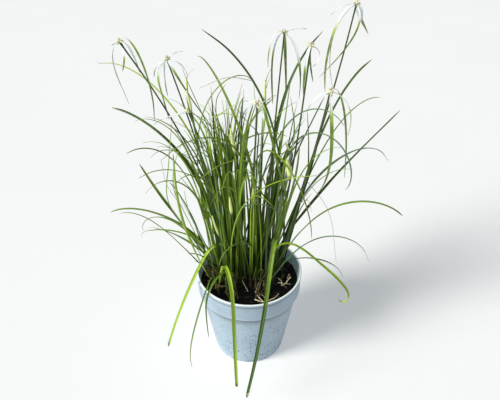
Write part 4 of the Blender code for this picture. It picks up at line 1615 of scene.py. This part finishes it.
@dataclass
class InnerGrowth:
    """Fine growth between the followed blades: inner blades, dry sheaths and drying threads.

    `threaded` are the leaves that end in a thread. The other threads hang from shoots.
    """

    lines: list[Line]
    level: float
    clumps: tuple = (
        Clump(28, (-23, 2), (13, 14), (-5, 1), 3, (5, 50), (4, 8), (172, 230), (2.7, 4.0), (0.0, 0.5)),
        Clump(16, (20, 4), (14, 14), (-3, 8), 5, (3, 40), (3, 6), (115, 210), (2.2, 3.4), (0.1, 0.5)),
        Clump(34, (-18, 2), (14, 12), (-7, 5), 4, (70, 150), (4, 8), (190, 236), (2.0, 3.2), (0.3, 1.1)),
        Clump(9, (14, 4), (16, 12), (-4, 10), 6, (90, 150), (4, 8), (150, 222), (1.4, 2.2), (0.6, 1.1)),
        Clump(8, (0, -2), (28, 20), (-12, 12), 12, (10, 80), (1, 3), (35, 90), (1.6, 3.0), (0.0, 0.4)),
    )
    root_depth: float = 3 * MM
    sheaths: int = 110
    threaded: tuple = (1, 5, 8, 9, 24, 28)
    shoot_threads: int = 14

    def _beside(self, count: int, rng: np.random.Generator, away: float) -> tuple[np.ndarray, ...]:
        """Roots beside those of the followed blades within 50 mm of the axis, and their headings.

        Args:
            count: how many.
            rng: the generator of the draws.
            away: mean distance from the followed blade's root along each axis.

        Returns:
            The roots, and the headings, which point away from the tuft's middle, give or take.
        """
        roots = np.array([line.middle[0] for line in self.lines])
        roots[:, 2] = self.level
        roots = roots[np.hypot(roots[:, 0], roots[:, 1]) < 50 * MM]
        chosen = roots[rng.integers(len(roots), size=count)] + rng.normal(size=(count, 3)) * away
        chosen[:, 2] = self.level - self.root_depth
        out = chosen - roots.mean(axis=0)
        heading = np.arctan2(out[:, 1], out[:, 0]) + rng.normal(size=count) * 0.9
        return chosen, heading

    def inner_blades(self) -> None:
        """The clumps' blades, each clump one piece.

        Every blade is rolled until its face looks to the front, and up to a radian more or less.
        """
        finish = BladeFinish("inner_blade", display(44, 78, 20), display(152, 188, 54)).material()
        section = Section(corners=8, channel=0.7, web=0.24 * MM)
        for order, clump in enumerate(self.clumps):
            rng = np.random.default_rng(Seed.CLUMP_ROLLS + order)
            strands = clump.growth(self.level - self.root_depth, Seed.CLUMPS + order).strands(48)
            count = clump.blades
            facing = np.pi - np.arctan2(strands.across[:, 0, 1], strands.across[:, 0, 0])
            rolled = facing + (rng.random(count) - 0.5) * 2.0
            strands = strands.twisted(np.full(count, 0.4), 1.2, rng.random(count) * 6, rolled)
            settle(section.mesh(f"inner_blades_{order + 1}", strands), Slot.SHOOT, finish)

    def dry_sheaths(self) -> None:
        """Short dead sheaths and blade stumps round the foot of the shoots."""
        rng = np.random.default_rng(Seed.SHEATHS)
        root, heading = self._beside(self.sheaths, rng, 2.0 * MM)
        count = self.sheaths
        growth = Growth(
            root=root,
            heading=heading,
            lean=np.radians(4 + 22 * rng.random(count)),
            droop=np.radians(120 * rng.random(count) ** 3),
            bend=1.0 + 2.0 * rng.random(count),
            swing=np.radians(80 * (rng.random(count) - 0.5)),
            length=(9 + 30 * rng.random(count) ** 2) * MM,
            width=(1.6 + 1.6 * rng.random(count)) * MM,
            tone=rng.random(count),
        )
        section = Section(corners=8, channel=0.8, keel=0.1, web=0.22 * MM)
        strands = growth.strands(18)
        finish = DryFinish("dry_sheath", display(128, 112, 78), display(62, 50, 34), 0.7).material()
        settle(section.mesh("dry_sheaths", strands), Slot.ROOT, finish)

    def dry_threads(self) -> None:
        """Thread-like dry ends that go on from the tips of some blades and curl."""
        rng = np.random.default_rng(Seed.THREADS)
        shoots = self.lines[Foliage.count :]
        chosen = [self.lines[number - 1] for number in self.threaded]
        chosen += [shoots[k] for k in rng.permutation(len(shoots))[: self.shoot_threads]]
        tip = np.array([line.middle[-1] for line in chosen])
        ahead = unit(tip - np.array([line.middle[-2] for line in chosen]))
        count = len(chosen)
        growth = Growth(
            root=tip - ahead * 2 * MM,
            heading=np.arctan2(ahead[:, 1], ahead[:, 0]),
            lean=np.arccos(np.clip(ahead[:, 2], -1, 1)),
            droop=np.radians(170 * (rng.random(count) - 0.35)),
            bend=1.0 + rng.random(count),
            swing=np.radians(120 * (rng.random(count) - 0.5)),
            length=(4 + 10 * rng.random(count)) * MM,
            width=np.full(count, 0.42 * MM),
            tone=rng.random(count),
        )
        strands = growth.strands(22)
        finish = DryFinish("dry_thread", display(168, 158, 140), display(110, 100, 86)).material()
        settle(round_mesh("dry_threads", strands, 5), Slot.ROOT, finish)

    def build(self) -> None:
        """Builds the fine growth."""
        self.inner_blades()
        self.dry_sheaths()
        self.dry_threads()


@dataclass(frozen=True)
class Bow:
    """One fine blade, bud or thread that stands clear of the mass, in an upright plane.

    It passes `start` and `over` and ends at `tip`, each millimetres to the right and millimetres
    up, `depth` millimetres behind the pot's middle. All but threads grow from the peat.
    """

    look: Look
    depth: float
    start: tuple[float, float]
    over: tuple[float, float]
    tip: tuple[float, float]
    width: float
    tone: float = 0.5

    def line(self, level: float) -> Line:
        """The bow's line, led up from the peat to its start.

        The root of a start 100 mm or more above the peat lies at 0.45 of its distance from the
        pot's axis, and that of a lower one further out. The face is turned 37 degrees aside.
        """
        places = np.array([(x, self.depth, z) for x, z in (self.start, self.over, self.tip)]) * MM
        if self.look is not Look.THREAD:
            inwards = 0.55 * min((places[0, 2] - level) / (100 * MM), 1.0)
            foot = places[0] * [1.0, 1.0, 0.0] * (1.0 - inwards) + (level - 4 * MM) * UP
            rise = places[0] - foot
            near = places[0] - unit(rise) * min(0.4 * np.linalg.norm(rise), 16 * MM)
            places = np.vstack([foot, near, places])
        ahead = unit(np.gradient(places, axis=0))
        across = 0.8 * np.cross(ahead, [0.0, 1.0, 0.0]) + [0.0, 0.6, 0.0]
        return Line(places, unit(across), np.full(len(places), self.width * MM))

    def sheath(self, stations: int, level: float) -> np.ndarray:
        """How far each station lies within the bud's sheath: 0 up to its start, 1 at its tip."""
        steps = np.linalg.norm(np.diff(self.line(level).middle, axis=0), axis=1)
        start = steps[:2].sum() / steps.sum()
        return np.clip((np.linspace(0.0, 1.0, stations) - start) / (1.0 - start), 0.0, 1.0)


@dataclass
class Bows:
    """The fine growth that is seen singly: arching tips, young forks, sheaths and drying threads.

    `stalk` is the width of a bud's stem.
    """

    level: float
    stations: int = 60
    stalk: float = 1.3 * MM
    bud_sides: int = 10
    thread_sides: int = 6
    bows: tuple = (
        Bow(Look.BLADE, 5, (-31, 301), (-29, 318), (-21, 330), 1.8, 0.1),
        Bow(Look.BLADE, 0, (-13, 303), (-10, 315), (-7, 325), 1.0, 0.1),
        Bow(Look.BLADE, 10, (15, 322), (17, 336), (22, 346), 1.6, 0.5),
        Bow(Look.BLADE, -5, (-82, 204), (-78, 257), (-71, 301), 1.4, 0.6),
        Bow(Look.BLADE, -5, (-75, 216), (-74, 248), (-64, 276), 1.3, 0.6),
        Bow(Look.BLADE, 0, (58, 231), (58, 270), (54, 308), 1.7, 0.0),
        Bow(Look.BLADE, -15, (-6, 281), (5, 306), (23, 326), 3.0, 0.4),
        Bow(Look.BLADE, 5, (9, 280), (-1, 292), (-13, 308), 2.0, 0.0),
        Bow(Look.BLADE, -20, (37, 214), (27, 262), (15, 308), 2.9, 0.5),
        Bow(Look.BLADE, -8, (23, 204), (31, 251), (52, 284), 3.2, 0.0),
        Bow(Look.BLADE, 0, (42, 265), (43, 292), (38, 320), 2.4, 0.7),
        Bow(Look.BLADE, 2, (53, 205), (63, 251), (71, 304), 4.2, 0.0),
        Bow(Look.BLADE, -5, (-38, 268), (-41, 291), (-44, 303), 3.0, 0.9),
        Bow(Look.BLADE, -6, (-50, 289), (-54, 307), (-57, 324), 3.0, 0.1),
        Bow(Look.BLADE, 0, (-14, 254), (-20, 274), (-31, 296), 3.0, 0.5),
        Bow(Look.BLADE, -37, (-22, 100), (-24, 116), (-25, 134), 2.2, 0.1),
        Bow(Look.BLADE, -37, (-12, 100), (-14, 116), (-18, 138), 2.0, 0.0),
        Bow(Look.BLADE, -31, (-33, 100), (-35, 118), (-40, 138), 2.0, 0.1),
        Bow(Look.YOUNG, -5, (-31, 300), (-19, 310), (-5, 318), 1.6, 0.6),
        Bow(Look.YOUNG, -5, (-29, 304), (-18, 305), (-5, 300), 1.6, 0.7),
        Bow(Look.YOUNG, -5, (-30, 299), (-35, 304), (-41, 309), 1.6, 0.5),
        Bow(Look.YOUNG, -10, (-38, 288), (-42, 295), (-45, 304), 2.6, 0.6),
        Bow(Look.YOUNG, -8, (-12, 265), (-2, 261), (7, 247), 2.0, 0.7),
        Bow(Look.YOUNG, -28, (5, 230), (14, 227), (25, 216), 2.0, 0.4),
        Bow(Look.YOUNG, -28, (2, 226), (-3, 222), (-9, 213), 1.4, 0.2),
        Bow(Look.PALE, 10, (7, 305), (5, 319), (5, 331), 2.0, 0.8),
        Bow(Look.PALE, 10, (14, 315), (17, 328), (21, 339), 1.8, 0.6),
        Bow(Look.PALE, -25, (5, 227), (8, 248), (8, 278), 2.0, 0.4),
        Bow(Look.PALE, -16, (-9, 206), (7, 212), (30, 205), 2.2, 0.2),
        Bow(Look.PALE, -15, (-60, 199), (-63, 214), (-64, 228), 2.0, 0.2),
        Bow(Look.PALE, -15, (-61, 199), (-66, 212), (-70, 224), 1.6, 0.3),
        Bow(Look.PALE, -6, (41, 268), (43, 281), (45, 293), 3.2, 0.9),
        Bow(Look.PALE, -10, (-43, 276), (-38, 284), (-30, 294), 2.4, 0.3),
        Bow(Look.BUD, 10, (15, 309), (15, 320), (15, 332), 2.4, 0.8),
        Bow(Look.BUD, -5, (-53, 303), (-54, 316), (-56, 328), 3.0, 0.9),
        Bow(Look.BUD, 0, (-56, 324), (-56, 331), (-56, 338), 1.8, 0.4),
        Bow(Look.BUD, -12, (-12, 264), (-15, 279), (-17, 294), 4.2, 0.7),
        Bow(Look.BUD, -25, (4, 215), (4, 225), (4, 237), 3.6, 0.3),
        Bow(Look.BUD, -24, (-17, 203), (-18, 214), (-19, 226), 3.6, 0.5),
        Bow(Look.BUD, -25, (-30, 176), (-34, 190), (-37, 204), 2.4, 0.5),
        Bow(Look.BUD, -34, (38, 251), (37, 262), (34, 274), 5.2, 0.6),
        Bow(Look.BUD, 5, (30, 270), (30, 276), (30, 283), 2.4, 1.0),
        Bow(Look.BUD, 0, (42, 262), (39, 266), (35, 273), 2.8, 0.8),
        Bow(Look.THREAD, 0, (4, 335), (-18, 338), (-45, 328), 0.9, 0.2),
        Bow(Look.THREAD, 0, (-56, 336), (-53, 342), (-48, 346), 0.6, 0.3),
        Bow(Look.THREAD, -10, (-68, 203), (-82, 232), (-85, 261), 0.7, 0.3),
        Bow(Look.THREAD, 0, (53, 237), (81, 198), (99, 121), 0.7, 0.3),
        Bow(Look.THREAD, 5, (30, 281), (36, 287), (41, 294), 0.5, 0.2),
        Bow(Look.THREAD, -15, (50, 212), (58, 216), (64, 202), 0.7, 0.3),
        Bow(Look.THREAD, -118, (-2, 46), (1, 51), (4, 57), 0.6, 0.2),
    )

    def finish(self, look: Look) -> bpy.types.Material:
        """The material of one kind."""
        if look is Look.THREAD:
            return DryFinish("bow_thread", display(206, 208, 198), display(150, 150, 136)).material()
        if look is Look.BUD:
            return BudFinish("bow_bud").material()
        deep, bright = {
            Look.BLADE: (display(50, 80, 22), display(150, 184, 64)),
            Look.YOUNG: (display(106, 146, 30), display(200, 220, 86)),
            Look.PALE: (display(96, 134, 92), display(204, 222, 192)),
        }[look]
        return BladeFinish(f"bow_{look.value}", deep, bright, dry_length=5 * MM).material()

    def buds(self, name: str, bows: list[Bow], strands: Strands) -> bpy.types.Object:
        """One closed mesh of the buds.

        A bud's width is its stalk's and, within the sheath, the rest of its own times the sine of
        pi times the share of the sheath to the power 0.8.
        """
        sheath = np.array([bow.sheath(self.stations, self.level) for bow in bows])
        strands.width = self.stalk + (strands.width - self.stalk) * np.sin(np.pi * sheath**0.8)
        traits = round_traits(strands, self.bud_sides)
        traits["sheath"] = np.broadcast_to(sheath[:, :, None], traits["across"].shape)
        return closed_mesh(name, round_rings(strands, self.bud_sides), traits)

    def build(self) -> None:
        """Builds a piece for each kind. A thread loses 0.45 of its width to its end."""
        section = Section(corners=10, channel=0.5, web=0.24 * MM, tip=30.0)
        for look in Look:
            bows = [bow for bow in self.bows if bow.look is look]
            lines = [bow.line(self.level) for bow in bows]
            strands = Strands.along(lines, self.stations, [bow.tone for bow in bows])
            name = f"bows_{look.value}"
            if look is Look.BUD:
                piece = self.buds(name, bows, strands)
            elif look is Look.THREAD:
                strands.width = strands.width * (1.0 - 0.45 * strands.share)
                piece = round_mesh(name, strands, self.thread_sides)
            else:
                piece = section.mesh(name, strands.blades(strands.width.max(axis=1), 0.6))
            slot = {Look.BLADE: Slot.LEAF, Look.THREAD: Slot.ROOT}.get(look, Slot.SHOOT)
            settle(piece, slot, self.finish(look))


@dataclass
class DeadRoots:
    """The dry roots that lie on the bare peat, knotty and pale.

    For each node, `from_back` says whether its root begins at the end that lies further to the
    right and the back, and `end_corners` is how many corners the node has at an end.
    """

    from_back: dict = field(default_factory=lambda: {"dead_root_loop": True, "dead_root_fork": False})
    end_corners: int = 6
    width: float = 1.5 * MM
    stations: int = 90
    corners: int = 8

    def build(self) -> None:
        """Builds a piece for each root on its node's line.

        It loses 0.45 of its width to its thin end, and two sines along it make its knots.
        """
        finish = DryFinish("dead_root", display(224, 216, 178), display(150, 138, 100)).material()
        for name, from_back in self.from_back.items():
            node = NodeMesh(name)
            order = (node.points[:, :2] @ self._diagonal(name)).argsort()
            node.start[order[-self.end_corners :] if from_back else order[: self.end_corners]] = True
            strands = Strands.along(node.lines()[:1], self.stations, np.array([0.4]))
            share = strands.share
            knots = 0.14 * np.sin(share * 55) + 0.10 * np.sin(share * 131 + 2)
            strands.width = self.width * (1.0 - 0.45 * share) * (1.0 + knots)
            settle(round_mesh(f"{name}_dry", strands, self.corners), Slot.ROOT, finish, name)

    @staticmethod
    def _diagonal(name: str) -> np.ndarray:
        """Level direction of the diagonal of the node's box, to the right and the back."""
        low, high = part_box(name)
        return unit(np.array([high.x - low.x, high.y - low.y]))


@dataclass
class Studio:
    """Pale floor, soft light from the upper left and the camera at the photograph's angle.

    The focal length and the frame's width are pixels of the photograph. The surround is the white
    backdrop where the camera sees it, and `surround` as bright, and tinted, where it lights.
    """

    focal: float = 500.0
    frame_width: float = 500.0
    sensor: float = 36.0
    pitch: float = 33.49
    distance: float = 520.1 * MM
    target: tuple = (1.0 * MM, 0.0, 206.5 * MM)
    nearest: float = 0.02
    furthest: float = 50.0
    floor_half: float = 6.0
    floor_depth: float = 20 * MM
    surround: float = 0.16
    surround_tint: tuple = (0.74, 0.88, 1.0, 1.0)
    backdrop: tuple = (0.97, 0.98, 1.0, 1.0)

    def camera(self) -> None:
        """A pinhole camera, looking along +Y and down by the pitch."""
        lens = bpy.data.cameras.new("photo_camera")
        lens.sensor_width = self.sensor
        lens.lens = self.sensor * self.focal / self.frame_width
        lens.clip_start = self.nearest
        lens.clip_end = self.furthest
        camera = bpy.data.objects.new("photo_camera", lens)
        pitch = np.radians(self.pitch)
        x, y, z = self.target
        camera.location = (x, y - np.cos(pitch) * self.distance, z + np.sin(pitch) * self.distance)
        camera.rotation_euler = (np.pi / 2 - pitch, 0.0, 0.0)
        bpy.context.scene.collection.objects.link(camera)
        bpy.context.scene.camera = camera

    def floor(self) -> None:
        """A wide thin slab whose top is the surface that the pot stands on."""
        half = self.floor_half
        loop = np.array([(-half, -half), (half, -half), (half, half), (-half, half)])
        rings = [np.column_stack([loop, np.full(4, level)]) for level in (-self.floor_depth, 0.0)]
        slab = closed_mesh("studio_floor", np.stack(rings)[None])
        slab.data.shade_flat()
        slab.data.materials.append(FloorFinish("studio_floor").material())

    def lamp(
        self, name: str, place: tuple, strength: float, spread: float, colour: tuple, shadow: bool
    ) -> None:
        """A far soft lamp that lights the whole floor alike.

        Args:
            name: its name.
            place: direction that it shines from.
            strength: its strength in watts a square metre.
            spread: angle that it fills, in degrees.
            colour: its colour.
            shadow: whether it casts shadows.
        """
        light = bpy.data.lights.new(name, "SUN")
        light.angle = np.radians(spread)
        light.energy = strength
        light.color = colour
        light.use_shadow = shadow
        lamp = bpy.data.objects.new(name, light)
        x, y, z = unit(np.array(place))
        lamp.rotation_euler = (float(np.arccos(z)), 0.0, float(np.arctan2(y, x) + np.pi / 2))
        bpy.context.scene.collection.objects.link(lamp)

    def world(self) -> None:
        """An even surround: white behind the floor, and dimmer as a light."""
        world = bpy.data.worlds.new("studio_surround")
        world.use_nodes = True
        nodes, links = world.node_tree.nodes, world.node_tree.links
        surround = nodes["Background"]
        seen = nodes.new("ShaderNodeLightPath").outputs["Is Camera Ray"]
        tint = nodes.new("ShaderNodeMix")
        tint.data_type = "RGBA"
        tint.inputs[6].default_value = self.surround_tint
        tint.inputs[7].default_value = self.backdrop
        links.new(seen, tint.inputs[0])
        links.new(tint.outputs[2], surround.inputs["Color"])
        level = nodes.new("ShaderNodeMapRange")
        level.inputs["To Min"].default_value = self.surround
        level.inputs["To Max"].default_value = 1.0
        links.new(seen, level.inputs["Value"])
        links.new(level.outputs[0], surround.inputs["Strength"])
        bpy.context.scene.world = world

    def build(self) -> None:
        """Sets up the studio."""
        self.camera()
        self.floor()
        self.world()
        warm, plain = (1.0, 0.975, 0.91), (1.0, 1.0, 1.0)
        self.lamp(
            "key_lamp", (-0.78, -0.38, 0.52), strength=3.25, spread=22.0, colour=warm, shadow=True
        )
        self.lamp(
            "floor_lamp", (0.0, 0.0, 1.0), strength=1.2, spread=30.0, colour=plain, shadow=False
        )
        bpy.context.scene.view_settings.view_transform = "Standard"


def main() -> None:
    """Builds the looks in order, from the pot up."""
    logging.basicConfig(level=logging.INFO, format="%(name)s %(message)s")
    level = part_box("soil")[1].z
    root_level = min(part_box("leaf_11")[0].z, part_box("leaf_13")[0].z) + ROOT_RISE
    log.info("peat top %.4f, roots %.4f", level, root_level)
    Studio().build()
    Pot().build()
    Peat(level=root_level - PEAT_DROP).build()
    leaves = Foliage(level=root_level).build()
    shoots = Tufts(crown_top=root_level + CROWN_HEIGHT).build()
    heads = FlowerStems(level=root_level).build()
    FlowerHeads(heads=heads).build()
    InnerGrowth(lines=leaves + shoots, level=root_level).build()
    Bows(level=root_level).build()
    DeadRoots().build()


if __name__ == "__main__":
    main()
